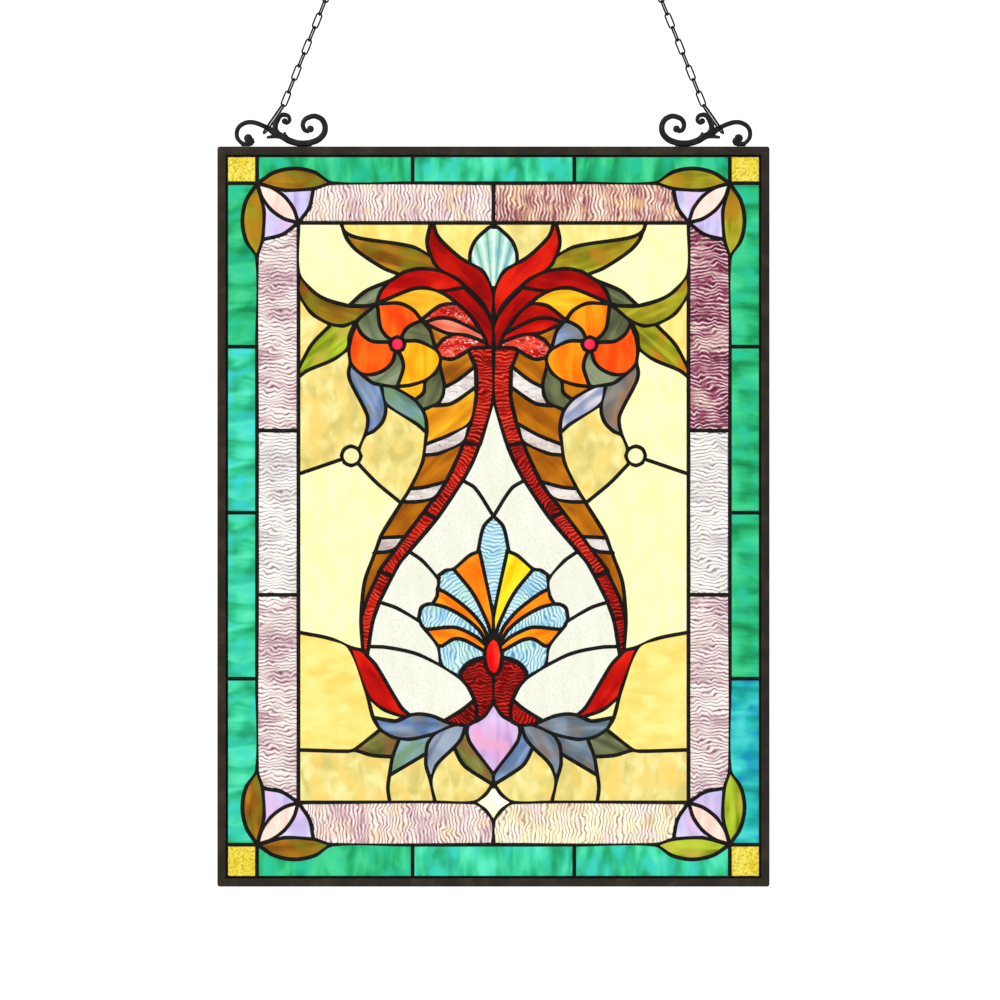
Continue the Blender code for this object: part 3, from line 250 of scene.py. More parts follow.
def shaped(name, loops, profile, grid=(), lift=None):
    """Outlines with the material on their left; profile steps are (inset, y) from front to back."""
    vertices = []
    faces = []
    rings = []
    for step, y in profile:
        ring = [inset(loop, step) if step else loop for loop in loops]
        starts = []
        for loop in ring:
            starts.append(len(vertices))
            vertices += [Vector((p.x, y, p.y)) for p in loop]
        rings.append((ring, starts))
    for (ring, starts), (_, onward) in zip(rings, rings[1:]):
        for loop, a, b in zip(ring, starts, onward):
            count = len(loop)
            faces += [(a + i, b + i, b + (i + 1) % count, a + (i + 1) % count) for i in range(count)]
    for (ring, starts), y, front in ((rings[0], profile[0][1], True), (rings[-1], profile[-1][1], False)):
        places, triangles, sources = filled(ring, grid)
        order = [start + i for loop, start in zip(ring, starts) for i in range(len(loop))]
        known = {}
        for i, place in enumerate(places):
            if sources[i] is not None and sources[i] < len(order):
                known[i] = order[sources[i]]
            else:
                known[i] = len(vertices)
                rise = lift(place, front) if lift else 0.0
                vertices.append(Vector((place.x, y + rise, place.y)))
        for triangle in triangles:
            ids = [known[i] for i in triangle]
            faces.append(tuple(ids) if front else tuple(reversed(ids)))
    mesh = bpy.data.meshes.new(name)
    mesh.from_pydata(vertices, [], faces)
    shape = bmesh.new()
    shape.from_mesh(mesh)
    bmesh.ops.delete(shape, geom=[v for v in shape.verts if not v.link_faces], context="VERTS")
    bmesh.ops.recalc_face_normals(shape, faces=shape.faces)
    shape.to_mesh(mesh)
    shape.free()
    piece = bpy.data.objects.new(name, mesh)
    bpy.context.scene.collection.objects.link(piece)
    return piece


# %% [markdown]
# An operator works on what is selected. These two helpers pick one object, and smooth
# the shading of a piece except over edges sharper than an angle.
# %% Pick and smooth one object
def pick(piece):
    for other in list(bpy.context.selected_objects):
        other.select_set(False)
    piece.select_set(True)
    bpy.context.view_layer.objects.active = piece


def soften(piece, degrees=40):
    pick(piece)
    bpy.ops.object.shade_smooth_by_angle(angle=math.radians(degrees))
    piece.select_set(False)


def settle(piece):
    pick(piece)
    bpy.ops.object.transform_apply(location=True, rotation=True, scale=True)
    piece.select_set(False)
    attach(piece, "root")
    return piece


# %% [markdown]
# Materials are written as expressions. The small class wraps a socket, so that sums and
# products of patterns read like plain maths, and one method makes every other node.
# %% A small language for materials
class Wire:
    def __init__(self, paint, socket):
        self.paint = paint
        self.socket = socket

    def _maths(self, operation, a, b):
        return self.paint.node("ShaderNodeMath", {"operation": operation}, {0: a, 1: b})

    def __add__(self, other):
        return self._maths("ADD", self, other)

    def __radd__(self, other):
        return self._maths("ADD", other, self)

    def __sub__(self, other):
        return self._maths("SUBTRACT", self, other)

    def __mul__(self, other):
        return self._maths("MULTIPLY", self, other)


class Paint:
    def __init__(self, name, **plain):
        self.material = bpy.data.materials.new(name)
        self.material.use_nodes = True
        self.tree = self.material.node_tree
        self.shader = self.tree.nodes["Principled BSDF"]
        for label, value in plain.items():
            self.shader.inputs[label.replace("_", " ").title().replace("Ior", "IOR")].default_value = value

    def node(self, kind, settings=None, values=None, out=0):
        made = self.tree.nodes.new(kind)
        for label, value in (settings or {}).items():
            if label == "stops":
                ramp = made.color_ramp
                while len(ramp.elements) < len(value):
                    ramp.elements.new(0.5)
                for element, (place, color) in zip(ramp.elements, value):
                    element.position = place
                    element.color = (*color, 1)
            else:
                setattr(made, label, value)
        for label, value in (values or {}).items():
            if isinstance(value, Wire):
                self.tree.links.new(value.socket, made.inputs[label])
            else:
                made.inputs[label].default_value = value
        return Wire(self, made.outputs[out])

    def feed(self, label, wire):
        self.tree.links.new(wire.socket, self.shader.inputs[label])

    def noise(self, where, scale, detail=2.0, rough=0.5, distort=0.0):
        values = {"Vector": where, "Scale": scale, "Detail": detail, "Roughness": rough,
                  "Distortion": distort}
        return self.node("ShaderNodeTexNoise", None, values, "Fac")

    def stretch(self, where, along, across):
        values = {0: where, 1: (along, across, 1)}
        return self.node("ShaderNodeVectorMath", {"operation": "MULTIPLY"}, values)

    def ramp(self, amount, stops):
        return self.node("ShaderNodeValToRGB", {"stops": stops}, {"Fac": amount}, "Color")

    def mix(self, amount, first, second):
        settings = {"data_type": "RGBA"}
        first = first if isinstance(first, Wire) else (*first, 1)
        second = second if isinstance(second, Wire) else (*second, 1)
        return self.node("ShaderNodeMix", settings, {0: amount, 6: first, 7: second}, 2)

    def smooth_step(self, amount, low, high):
        settings = {"interpolation_type": "SMOOTHSTEP"}
        return self.node("ShaderNodeMapRange", settings, {"Value": amount, "From Min": low, "From Max": high})

    def bump(self, height, strength, distance):
        values = {"Height": height, "Strength": strength, "Distance": distance}
        return self.node("ShaderNodeBump", None, values, "Normal")


print("materials are ready to be mixed")

# %% [markdown]
# Opalescent sheet is poured from several ladles of colour and rolled while it is hot, so
# it has long streaks along the roll. Every piece carries a UV map in units of 10 mm: u runs
# along the piece's grain and v across it, which turns the streaks as a cutter would.
# The glass is see-through by plain values, and the colour alone varies over it; on textured sheets that
# colour also carries painted shade and painted highlights along the relief.
# %% Sheets of glass
WEAK_SHINE = (0.2, 0.2, 0.2, 1)


def sheet(name, colors, long=0.25, fine=1.1, finish="smooth", gloss=0.3, patch=None, thread=None, shine=None):
    """colors run from the darkest streak to the lightest; patch is a second colour that
    clouds in; the dark texture colour is painted shade in a texture's low lines and the light one a painted
    highlight on its high lines."""
    paint = Paint(name, roughness=gloss, transmission_weight=1.0, ior=1.5)
    paint.shader.inputs["Specular Tint"].default_value = WEAK_SHINE
    where = paint.node("ShaderNodeUVMap", {"uv_map": "grain"}, None, "UV")
    if finish == "ripple":
        long, fine = 0.85, 0.3
    streak = paint.noise(paint.stretch(where, long, fine), 1.0, 3.0, 0.5, 0.5)
    cloud = paint.noise(where, 0.35, 2.0, 0.5, 0.4)
    amount = paint.smooth_step(streak * 0.6 + cloud * 0.4, 0.34, 0.66)
    places = [i / (len(colors) - 1) for i in range(len(colors))]
    color = paint.ramp(amount, list(zip(places, colors)))
    if patch:
        drift = paint.noise(paint.stretch(where, 0.6, 0.9), 0.75, 1.0, 0.4, 0.3)
        color = paint.mix(paint.smooth_step(drift, 0.42, 0.74) * 0.9, color, patch)
    # When not given, the painted shade is a darkened first colour and the painted highlight a lightened last
    # one.
    thread = thread or tuple(c * 0.3 for c in colors[0])
    shine = shine or tuple(c + (1 - c) * 0.6 for c in colors[-1])
    if finish == "ripple":
        wander = paint.noise(paint.stretch(where, 0.62, 0.75), 1.0, 2.0, 0.5, 0.3)
        lines = paint.node("ShaderNodeTexWave", {"wave_type": "BANDS", "bands_direction": "X"},
                           {"Vector": where, "Scale": 1.0, "Distortion": 1.6, "Detail": 1.0,
                            "Detail Scale": 1.6, "Phase Offset": wander * 24.0}, "Fac")
        strength = paint.smooth_step(paint.noise(where, 1.1, 2.0, 0.6, 0.0), 0.30, 0.62)
        # Painted shade in the troughs of the ripple and painted highlights on its crests, standing in for
        # light bent by the relief.
        color = paint.mix(paint.smooth_step(lines, 0.38, 0.03) * (0.42 + strength * 0.55), color, thread)
        color = paint.mix(paint.smooth_step(lines, 0.78, 1.0) * strength * 0.85, color, shine)
        paint.feed("Normal", paint.bump(lines, 0.6, 0.0006))
    elif finish == "hammered":
        cells = paint.node("ShaderNodeTexVoronoi", {"feature": "F1"},
                           {"Vector": where, "Scale": 6.4}, "Distance")
        # Painted shade on the rims of the dimples and painted highlights in their middles.
        color = paint.mix(paint.smooth_step(cells, 0.50, 0.80), color, thread)
        color = paint.mix(paint.smooth_step(cells, 0.22, 0.02) * 0.6, color, shine)
        paint.feed("Normal", paint.bump(cells, 0.7, 0.0006))
    elif finish == "granite":
        grains = paint.noise(where, 6.0, 3.0, 0.65, 0.2)
        # Painted shade on the grains of the rolled texture.
        color = paint.mix(paint.smooth_step(grains, 0.52, 0.64) * 0.7, color, thread)
        paint.feed("Normal", paint.bump(grains, 0.5, 0.0004))
    elif finish == "crinkle":
        folds = paint.noise(paint.stretch(where, 1.0, 2.2), 1.5, 2.0, 0.55, 1.0)
        ridge = paint.node("ShaderNodeMath", {"operation": "ABSOLUTE"}, {0: folds - 0.53})
        lit = paint.smooth_step(paint.noise(where, 1.2, 1.0, 0.5, 0.0), 0.40, 0.60)
        # Painted shade in the folds and painted highlights along the ridges, stronger where the soft noise is
        # lit.
        color = paint.mix(paint.smooth_step(folds, 0.55, 0.72) * 0.8, color, thread)
        color = paint.mix(paint.smooth_step(ridge, 0.034, 0.004) * (0.25 + lit * 0.75), color, shine)
        paint.feed("Normal", paint.bump(folds, 0.6, 0.0006))
    elif finish == "shell":
        ribs = paint.node("ShaderNodeTexWave", {"wave_type": "BANDS", "bands_direction": "X"},
                          {"Vector": where, "Scale": 0.31416, "Distortion": 0.8, "Detail": 1.0}, "Fac")
        # Painted shade between the ribs and painted highlights along them.
        color = paint.mix(paint.smooth_step(ribs, 0.30, 0.02) * 0.75, color, thread)
        color = paint.mix(paint.smooth_step(ribs, 0.70, 0.97) * 0.55, color, shine)
        paint.feed("Normal", paint.bump(ribs, 0.5, 0.0006))
    else:
        paint.feed("Normal", paint.bump(streak, 0.12, 0.0006))
    paint.feed("Base Color", color)
    return paint.material


def poured(*colors, **recipe):
    """One kind of sheet: its colours from the darkest to the lightest, and how it is made."""
    return {"colors": colors, **recipe}


def rippled(*colors, **recipe):
    return poured(*colors, finish="ripple", **recipe)


def veined(*colors, **recipe):
    return poured(*colors, long=0.15, **recipe)


def banded(*colors, **recipe):
    return poured(*colors, long=0.2, fine=0.8, **recipe)


# Each sheet's dark texture colour is painted shade and its light one a painted highlight; only the textured
# finishes use them.
STOCK = {
    "cream": poured((0.86, 0.67, 0.19), (0.9, 0.77, 0.28), (0.92, 0.83, 0.37), long=0.5),
    "yellow_cream": poured((0.86, 0.63, 0.14), (0.9, 0.73, 0.2), (0.92, 0.79, 0.27), long=0.5),
    "pale_cream": poured((0.9, 0.82, 0.4), (0.92, 0.86, 0.47), (0.93, 0.89, 0.54), long=0.5),
    "mottled_cream": poured((0.62, 0.52, 0.15), (0.77, 0.66, 0.22), (0.88, 0.79, 0.33), long=0.7,
                            patch=(0.85, 0.6, 0.14)),
    "white_granite": poured((0.79, 0.8, 0.66), (0.82, 0.83, 0.71), (0.85, 0.86, 0.75), finish="granite",
                            thread=(0.6, 0.6, 0.49)),
    "emerald": banded((0.005, 0.21, 0.065), (0.02, 0.44, 0.16), (0.06, 0.62, 0.28),
                      patch=(0.02, 0.5, 0.28)),
    "teal": banded((0.01, 0.28, 0.11), (0.03, 0.54, 0.26), (0.1, 0.76, 0.46), patch=(0.04, 0.6, 0.48)),
    "cyan": banded((0.01, 0.28, 0.12), (0.03, 0.54, 0.27), (0.1, 0.76, 0.54), patch=(0.04, 0.6, 0.62)),
    "turquoise": banded((0.005, 0.26, 0.23), (0.02, 0.48, 0.44), (0.08, 0.66, 0.62),
                        patch=(0.005, 0.24, 0.42)),
    "ripple_pink": rippled((0.52, 0.3, 0.34), (0.74, 0.57, 0.54), (0.86, 0.76, 0.66),
                           thread=(0.22, 0.07, 0.12), shine=(0.97, 0.94, 0.9), patch=(0.84, 0.64, 0.38)),
    "ripple_rose": rippled((0.24, 0.05, 0.06), (0.54, 0.24, 0.2), (0.84, 0.62, 0.46),
                           thread=(0.16, 0.03, 0.07), shine=(0.96, 0.88, 0.78), patch=(0.8, 0.5, 0.24)),
    "ripple_plum": rippled((0.12, 0.01, 0.03), (0.29, 0.06, 0.11), (0.66, 0.42, 0.4),
                           thread=(0.08, 0.004, 0.03), shine=(0.97, 0.88, 0.82)),
    "ripple_mauve": rippled((0.46, 0.28, 0.32), (0.7, 0.57, 0.54), (0.85, 0.78, 0.72),
                            thread=(0.18, 0.05, 0.1), shine=(0.96, 0.93, 0.9)),
    "ripple_grey": rippled((0.56, 0.52, 0.5), (0.76, 0.74, 0.68), (0.87, 0.87, 0.8),
                           thread=(0.26, 0.17, 0.22), shine=(0.97, 0.97, 0.94)),
    "ripple_cream": rippled((0.68, 0.5, 0.28), (0.86, 0.76, 0.45), (0.93, 0.87, 0.6),
                            thread=(0.32, 0.18, 0.15), shine=(0.97, 0.95, 0.86), patch=(0.84, 0.7, 0.66)),
    "ripple_blue": rippled((0.15, 0.42, 0.68), (0.34, 0.62, 0.78), (0.52, 0.78, 0.8),
                           thread=(0.06, 0.22, 0.38), shine=(0.86, 0.95, 0.93), patch=(0.48, 0.76, 0.56)),
    "ripple_red": rippled((0.17, 0, 0), (0.36, 0.002, 0.001), (0.58, 0.01, 0.003), thread=(0.09, 0, 0),
                          shine=(0.88, 0.1, 0.04)),
    "ripple_wine": rippled((0.1, 0, 0), (0.21, 0, 0), (0.35, 0.002, 0.001), thread=(0.05, 0, 0),
                           shine=(0.7, 0.03, 0.015)),
    "olive_leaf": veined((0.15, 0.13, 0.005), (0.31, 0.28, 0.01), (0.46, 0.43, 0.03),
                         patch=(0.42, 0.2, 0.01)),
    "amber_leaf": veined((0.13, 0.045, 0.002), (0.27, 0.1, 0.004), (0.46, 0.22, 0.01),
                         patch=(0.2, 0.19, 0.01)),
    "moss_leaf": veined((0.1, 0.13, 0.005), (0.28, 0.38, 0.01), (0.48, 0.6, 0.04),
                        patch=(0.52, 0.42, 0.05)),
    "moss_orange": poured((0.14, 0.15, 0.005), (0.32, 0.32, 0.01), (0.46, 0.44, 0.03), long=0.12,
                          patch=(0.6, 0.14, 0.005)),
    "peach": poured((0.9, 0.5, 0.42), (0.95, 0.66, 0.56), (0.97, 0.78, 0.68)),
    "lavender": poured((0.44, 0.36, 0.62), (0.56, 0.52, 0.8), (0.7, 0.66, 0.88), patch=(0.72, 0.5, 0.76)),
    "flame_red": banded((0.2, 0, 0), (0.37, 0.001, 0), (0.54, 0.006, 0.001)),
    "bright_red": banded((0.34, 0, 0), (0.54, 0.004, 0.001), (0.74, 0.016, 0.002)),
    "textured_red": poured((0.4, 0, 0), (0.62, 0.01, 0.005), (0.8, 0.05, 0.02), finish="crinkle",
                           thread=(0.22, 0.002, 0.001), shine=(0.97, 0.66, 0.52)),
    "salmon": poured((0.72, 0.12, 0.07), (0.86, 0.25, 0.16), (0.93, 0.46, 0.34), long=0.12),
    "red_orange": poured((0.82, 0.04, 0.002), (0.92, 0.09, 0.003), (0.96, 0.16, 0.006)),
    "orange": poured((0.84, 0.13, 0.001), (0.95, 0.24, 0.003), (0.98, 0.36, 0.01)),
    "yellow_orange": poured((0.92, 0.28, 0.002), (0.96, 0.42, 0.006), (0.98, 0.6, 0.03)),
    "olive_grey": veined((0.055, 0.062, 0.03), (0.12, 0.135, 0.06), (0.2, 0.21, 0.1)),
    "grey_green": veined((0.09, 0.12, 0.06), (0.17, 0.21, 0.11), (0.28, 0.32, 0.19)),
    "blue_grey": veined((0.12, 0.15, 0.2), (0.2, 0.26, 0.36), (0.34, 0.4, 0.5)),
    "slate_blue": veined((0.06, 0.1, 0.16), (0.13, 0.22, 0.42), (0.3, 0.38, 0.52), patch=(0.2, 0.2, 0.17)),
    "sea_blue": veined((0.07, 0.13, 0.12), (0.15, 0.28, 0.3), (0.28, 0.42, 0.5), patch=(0.16, 0.3, 0.12)),
    "lavender_white": veined((0.26, 0.28, 0.4), (0.56, 0.54, 0.62), (0.78, 0.75, 0.76),
                             patch=(0.16, 0.22, 0.48)),
    "grey_brown": veined((0.09, 0.085, 0.08), (0.18, 0.17, 0.16), (0.32, 0.29, 0.26),
                         patch=(0.3, 0.17, 0.09)),
    "brown_orange": veined((0.24, 0.06, 0.001), (0.38, 0.11, 0.002), (0.54, 0.18, 0.004)),
    "amber": veined((0.6, 0.19, 0.004), (0.8, 0.34, 0.01), (0.92, 0.52, 0.03)),
    "dark_amber": veined((0.22, 0.06, 0.002), (0.38, 0.12, 0.004), (0.56, 0.21, 0.01)),
    "pale_crinkle": poured((0.46, 0.36, 0.34), (0.66, 0.6, 0.55), (0.8, 0.77, 0.72), finish="crinkle",
                           thread=(0.34, 0.25, 0.22), shine=(0.96, 0.96, 0.95)),
    "clear_yellow": poured((0.8, 0.72, 0.26), (0.92, 0.88, 0.48), (0.96, 0.95, 0.7), finish="granite",
                           thread=(0.62, 0.5, 0.14), gloss=0.12),
    "bright_yellow": poured((0.93, 0.52, 0.002), (0.97, 0.72, 0.01), (0.98, 0.82, 0.04)),
    "yellow": poured((0.76, 0.6, 0.03), (0.82, 0.69, 0.08), (0.86, 0.77, 0.14), finish="hammered",
                     thread=(0.55, 0.4, 0.02), shine=(1, 0.95, 0.46)),
    "jewel_red": poured((0.7, 0, 0.03), (0.88, 0.006, 0.05), (0.95, 0.04, 0.1), gloss=0.08),
    "jewel_scarlet": poured((0.62, 0, 0), (0.88, 0.006, 0.004), (0.96, 0.06, 0.02), gloss=0.08),
    "orchid": poured((0.42, 0.26, 0.52), (0.6, 0.4, 0.72), (0.72, 0.54, 0.82), long=0.2,
                     patch=(0.8, 0.36, 0.54)),
    "pale_bevel": poured((0.82, 0.84, 0.44), (0.92, 0.93, 0.62), (0.96, 0.97, 0.8), gloss=0.1),
    "pearl": poured((0.22, 0.5, 0.56), (0.46, 0.76, 0.54), (0.84, 0.9, 0.42), long=0.4, finish="shell",
                    thread=(0.12, 0.34, 0.3), shine=(0.94, 0.98, 0.96), patch=(0.36, 0.62, 0.66)),
    "smoky_olive": veined((0.05, 0.055, 0.01), (0.14, 0.15, 0.03), (0.26, 0.27, 0.06),
                          patch=(0.22, 0.1, 0.03)),
    "smoky_blue": veined((0.05, 0.07, 0.08), (0.12, 0.17, 0.22), (0.24, 0.3, 0.36),
                         patch=(0.2, 0.15, 0.12)),
}
glass = {name: sheet(name, **recipe) for name, recipe in STOCK.items()}
print(len(glass), "kinds of sheet glass")

# %% [markdown]
# The cutting list names each piece by a place inside it, on the cartoon's squares. The
# drawing is symmetrical, so one line serves both sides: one kind of glass for both, or the
# left one and then the right one. The last word turns the grain: up, flat or along the piece.
# %% The cutting list
BOTH_SIDES = [
    ("corner_ground", -88, 135, "pale_cream", "up"),
    ("top_ground", -55, 145, "yellow_cream cream", "up"),
    ("crown_ground", -20, 143, "yellow_cream mottled_cream", "up"),
    ("fork_ground", -95, 97, "mottled_cream yellow_cream", "up"),
    ("lamp_ground", -88, 50, "mottled_cream pale_cream", "up"),
    ("under_leaf_ground", -50, 35, "mottled_cream", "up"),
    ("side_ground", -85, -20, "pale_cream", "up"),
    ("roundel", -72.9, 29.4, "clear_yellow", "up"),
    ("low_ground", -85, -95, "yellow_cream", "flat"),
    ("notch_ground", -58, -104, "cream", "flat"),
    ("foot_ground_outer", -80, -138, "mottled_cream", "up"),
    ("foot_ground_middle", -43, -142, "mottled_cream", "up"),
    ("foot_ground_inner", -20, -141, "mottled_cream", "up"),
    ("top_leaf", -55, 133, "amber_leaf olive_leaf", "along"),
    ("side_leaf_upper", -85, 105, "amber_leaf olive_leaf", "along"),
    ("side_leaf_lower", -84, 88, "moss_leaf moss_orange", "along"),
    ("flame", -26, 133, "flame_red bright_red", "along"),
    ("crown_outer", -40, 121, "bright_red flame_red", "along"),
    ("crown_inner", -10, 106.5, "flame_red", "along"),
    ("crown_crescent", -63, 111.5, "grey_green olive_grey", "along"),
    ("crown_amber", -38, 109, "amber yellow_orange", "along"),
    ("petal_textured", -25, 104, "textured_red flame_red", "along"),
    ("petal_salmon", -22, 96.5, "salmon bright_red", "along"),
    ("petal_bulb", -15, 88, "textured_red", "along"),
    ("petal_brown", -29, 91.5, "dark_amber", "along"),
    ("flower_top", -50, 101, "red_orange orange", "up"),
    ("flower_upper_side", -62, 96, "grey_green olive_grey", "along"),
    ("flower_side", -63, 81, "red_orange", "up"),
    ("flower_under", -53.5, 72, "grey_green", "along"),
    ("flower_low", -38, 77, "yellow_orange orange", "up"),
    ("flower_inner", -38, 94, "olive_grey slate_blue", "along"),
    ("flower_jewel", -49.3, 87.2, "jewel_red", "up"),
    ("flower_bud", -42, 63, "yellow_orange brown_orange", "along"),
    ("flower_leaf", -31, 63, "olive_grey", "along"),
    ("drop_leaf_outer", -66, 62, "slate_blue grey_brown", "along"),
    ("drop_leaf_inner", -48, 57, "sea_blue lavender_white", "along"),
    ("horn_top", -20, 74, "dark_amber brown_orange", "along"),
    ("horn_stripe_a", -18, 64.5, "pale_crinkle", "flat"),
    ("horn_a", -24, 48, "amber brown_orange", "along"),
    ("horn_stripe_b", -25, 35.3, "pale_crinkle", "flat"),
    ("horn_b", -30, 22, "brown_orange", "along"),
    ("horn_stripe_c", -38, 9.5, "pale_crinkle", "flat"),
    ("horn_c", -46, -4, "brown_orange", "along"),
    ("horn_stripe_d", -54, -16.5, "pale_crinkle", "flat"),
    ("horn_tail", -62, -33, "brown_orange", "along"),
    ("ribbon_a", -4.5, 70, "ripple_red", "along"),
    ("ribbon_b", -20.7, 15, "ripple_red ripple_wine", "along"),
    ("ribbon_c", -43.4, -15, "ripple_red", "along"),
    ("ribbon_d", -64.5, -58, "ripple_red ripple_wine", "along"),
    ("foot_flame", -62, -83, "bright_red", "along"),
    ("foot_leaf_a", -50, -112, "slate_blue smoky_blue", "along"),
    ("foot_leaf_b", -57, -120, "smoky_olive olive_grey", "along"),
    ("foot_leaf_c", -43, -123, "sea_blue smoky_blue", "along"),
    ("foot_leaf_d", -27, -119, "blue_grey smoky_blue", "along"),
    ("foot_leaf_e", -14, -121, "smoky_olive slate_blue", "along"),
    ("vase_shoulder", -15, 0, "white_granite", "up"),
    ("vase_side", -42, -35, "white_granite", "up"),
    ("vase_belly", -50, -60, "white_granite", "up"),
    ("vase_base", -35, -85, "white_granite", "up"),
    ("wedge_a", -9, -32, "orange bright_yellow", "along"),
    ("petal_a", -22, -37, "ripple_blue", "along"),
    ("wedge_b", -24, -46, "orange", "along"),
    ("petal_b", -31, -54, "ripple_blue", "along"),
    ("wedge_c", -28, -64.5, "orange", "along"),
    ("petal_c", -20, -75, "ripple_blue", "along"),
    ("calyx_tall", -7, -90, "ripple_wine", "up"),
    ("calyx_small", -14, -105, "ripple_wine", "along"),
]
MIDDLE = [
    ("scallop", 0, 135, "pearl", "up"),
    ("vase_neck", 0, 30, "white_granite", "up"),
    ("petal_middle", 0, -25, "ripple_blue", "up"),
    ("palmette_jewel", 0, -74.5, "jewel_scarlet", "up"),
    ("lilac_heart", 0, -118, "orchid", "up"),
    ("foot_diamond", 0, -150, "pale_bevel", "up"),
]
print("pieces in the field:", 2 * len(BOTH_SIDES) + len(MIDDLE))

# %% [markdown]
# Round the field run a rippled band and a green band, with yellow squares and a small
# flower in each corner. Their places are given in millimetres from the panel's centre, and
# a corner's kinds of glass run top left, top right, foot left, foot right.
# %% The bands round the field
BANDS = [
    ("green_top_{}", 120, 294, "emerald", "up"),
    ("green_foot_{}", 120, -293, "emerald teal", "up"),
    ("green_{}_a", 214, 200, "emerald", "flat"),
    ("green_{}_b", 208, 70, "cyan emerald", "flat"),
    ("green_{}_c", 208, -65, "teal emerald", "flat"),
    ("green_{}_d", 214, -200, "teal turquoise", "flat"),
    ("ripple_top_{}", 60, 260, "ripple_pink ripple_rose", "flat"),
    ("ripple_foot_{}", 60, -255, "ripple_pink ripple_cream", "flat"),
    ("ripple_{}_a", 178, 150, "ripple_mauve ripple_plum", "up"),
    ("ripple_{}_b", 178, 0, "ripple_grey", "up"),
    ("ripple_{}_c", 178, -150, "ripple_mauve", "up"),
]
CORNERS = [
    ("gold_square", 211, 290, "yellow", "up"),
    ("leaf_flat", 165, 281, "amber_leaf olive_leaf amber_leaf moss_leaf", "along"),
    ("leaf_tall", 201, 245, "olive_leaf olive_leaf amber_leaf moss_leaf", "along"),
    ("almond", 178.6, 259.6, "peach", "up"),
    ("triangle_flat", 160, 261, "lavender", "up"),
    ("triangle_tall", 183, 238, "lavender", "up"),
]
FOOT_DROP = 4.3
wanted = []
for name, x, z, kinds, grain in BOTH_SIDES:
    left, right = (kinds.split() * 2)[:2]
    wanted.append((name + "_left", on_cartoon(x, z), left, grain))
    wanted.append((name + "_right", on_cartoon(-x, z), right, grain))
for name, x, z, kind, grain in MIDDLE:
    wanted.append((name, on_cartoon(x, z), kind, grain))
for name, x, z, kinds, grain in BANDS:
    for side, sign, kind in zip(("left", "right"), (-1, 1), kinds.split() * 2):
        wanted.append((name.format(side), on_panel(sign * x * MM, z * MM), kind, grain))
for name, z in (("green_top_middle", 290), ("green_foot", -290)):
    wanted.append((name, on_panel(0, z * MM), "teal", "up"))
for name, x, z, kinds, grain in CORNERS:
    places = ("top_left", "top_right", "foot_left", "foot_right")
    for kind, place, side, up in zip(kinds.split() * 4, places, (-1, 1, -1, 1), (1, 1, -1, -1)):
        drop = 0 if up > 0 else FOOT_DROP
        wanted.append((f"{name}_{place}", on_panel(side * x * MM, up * (z - drop) * MM), kind, grain))
print("pieces on the cutting list:", len(wanted))


# %% [markdown]
# Each place on the list is matched to the opening that holds it. A place that falls on a
# lead or in an opening already taken is a mistake in the list, so the script says so.
# %% Match the list to the openings
def holds(loop, spot):
    inside = False
    for i in range(len(loop)):
        a, b = loop[i - 1], loop[i]
        if (a.y > spot.y) != (b.y > spot.y):
            if spot.x < a.x + (spot.y - a.y) * (b.x - a.x) / (b.y - a.y):
                inside = not inside
    return inside


cut = {}
taken = set()
for name, spot, kind, grain in wanted:
    found = [i for i, loop in enumerate(openings) if i not in taken and holds(loop, spot)]
    if not found:
        print("no free opening for", name, [round(v / MM, 1) for v in spot - Vector((middle.x, middle.z))])
        continue
    taken.add(found[0])
    cut[name] = (openings[found[0]], spot, kind, grain)
for i, loop in enumerate(openings):
    if i not in taken:
        centre = sum(loop, Vector((0, 0))) / len(loop) - Vector((middle.x, middle.z))
        print("an opening with no piece at", [round(v / MM, 1) for v in centre])
print("pieces matched:", len(cut))

# %% [markdown]
# Every plate of the model stands for several pieces of glass. A ray shot through a piece's
# place from the front finds the plate behind it, which that piece then replaces.
# %% Find the plate behind each piece
plates = {}
for name, node in nodes.items():
    if name == "solder_net" or name.startswith(("frame", "bracket", "chain", "ring")):
        continue
    corners = [v.co.copy() for v in node.data.vertices]
    plates[name] = BVHTree.FromPolygons(corners, [tuple(p.vertices) for p in node.data.polygons])


def plate_behind(spot):
    for name, tree in plates.items():
        if tree.ray_cast(Vector((spot.x, -1, spot.y)), Vector((0, 1, 0)))[0] is not None:
            return name
    raise ValueError(f"no plate behind {spot}")


print(len(plates), "plates in the model")


# %% [markdown]
# A piece of glass reaches 0.5 mm under the solder on all sides, and its arris is taken off
# with a stone. Rolled textures are real relief: fine points are laid inside the outline
# and raised by waves for ripple, by shallow dimples for hammered, and by grains for the
# rest. Jewels and the roundel are domed. Everything stays under the seams' feet.
# %% Cut the glass
UNDER_SEAM = 0.5 * MM
ARRIS = 0.18 * MM


def direction(loop, grain, spot):
    if grain == "up":
        return Vector((0, 1))
    if grain == "flat":
        return Vector((1, 0))
    centre = sum(loop, Vector((0, 0))) / len(loop)
    xx = sum((p.x - centre.x) ** 2 for p in loop)
    yy = sum((p.y - centre.y) ** 2 for p in loop)
    xy = sum((p.x - centre.x) * (p.y - centre.y) for p in loop)
    angle = math.atan2(2 * xy, xx - yy) / 2
    return Vector((math.cos(angle), math.sin(angle)))


def edge_distance(loop, spot):
    nearest = 1.0
    for i in range(len(loop)):
        a, b = loop[i - 1], loop[i]
        along = b - a
        t = max(0.0, min(1.0, (spot - a).dot(along) / max(along.length_squared, 1e-12)))
        nearest = min(nearest, (a + along * t - spot).length)
    return nearest


RIBS = 17
RIB_DEPTH = 0.8 * MM
DOME = 1.5 * MM
EDGE_CLEAR = 0.4 * MM
FADE = 1.2 * MM
ROW_STEP = 0.87
FAN_BELOW = 0.35
PER_UNIT = 100
RELIEF = {
    "ripple": (1.0 * MM, 0.30 * MM),
    "hammered": (1.0 * MM, 0.30 * MM),
    "granite": (2.2 * MM, 0.14 * MM),
    "crinkle": (1.0 * MM, 0.24 * MM),
    "shell": (1.0 * MM, 0.0),
    "dome": (1.2 * MM, 0.0),
}


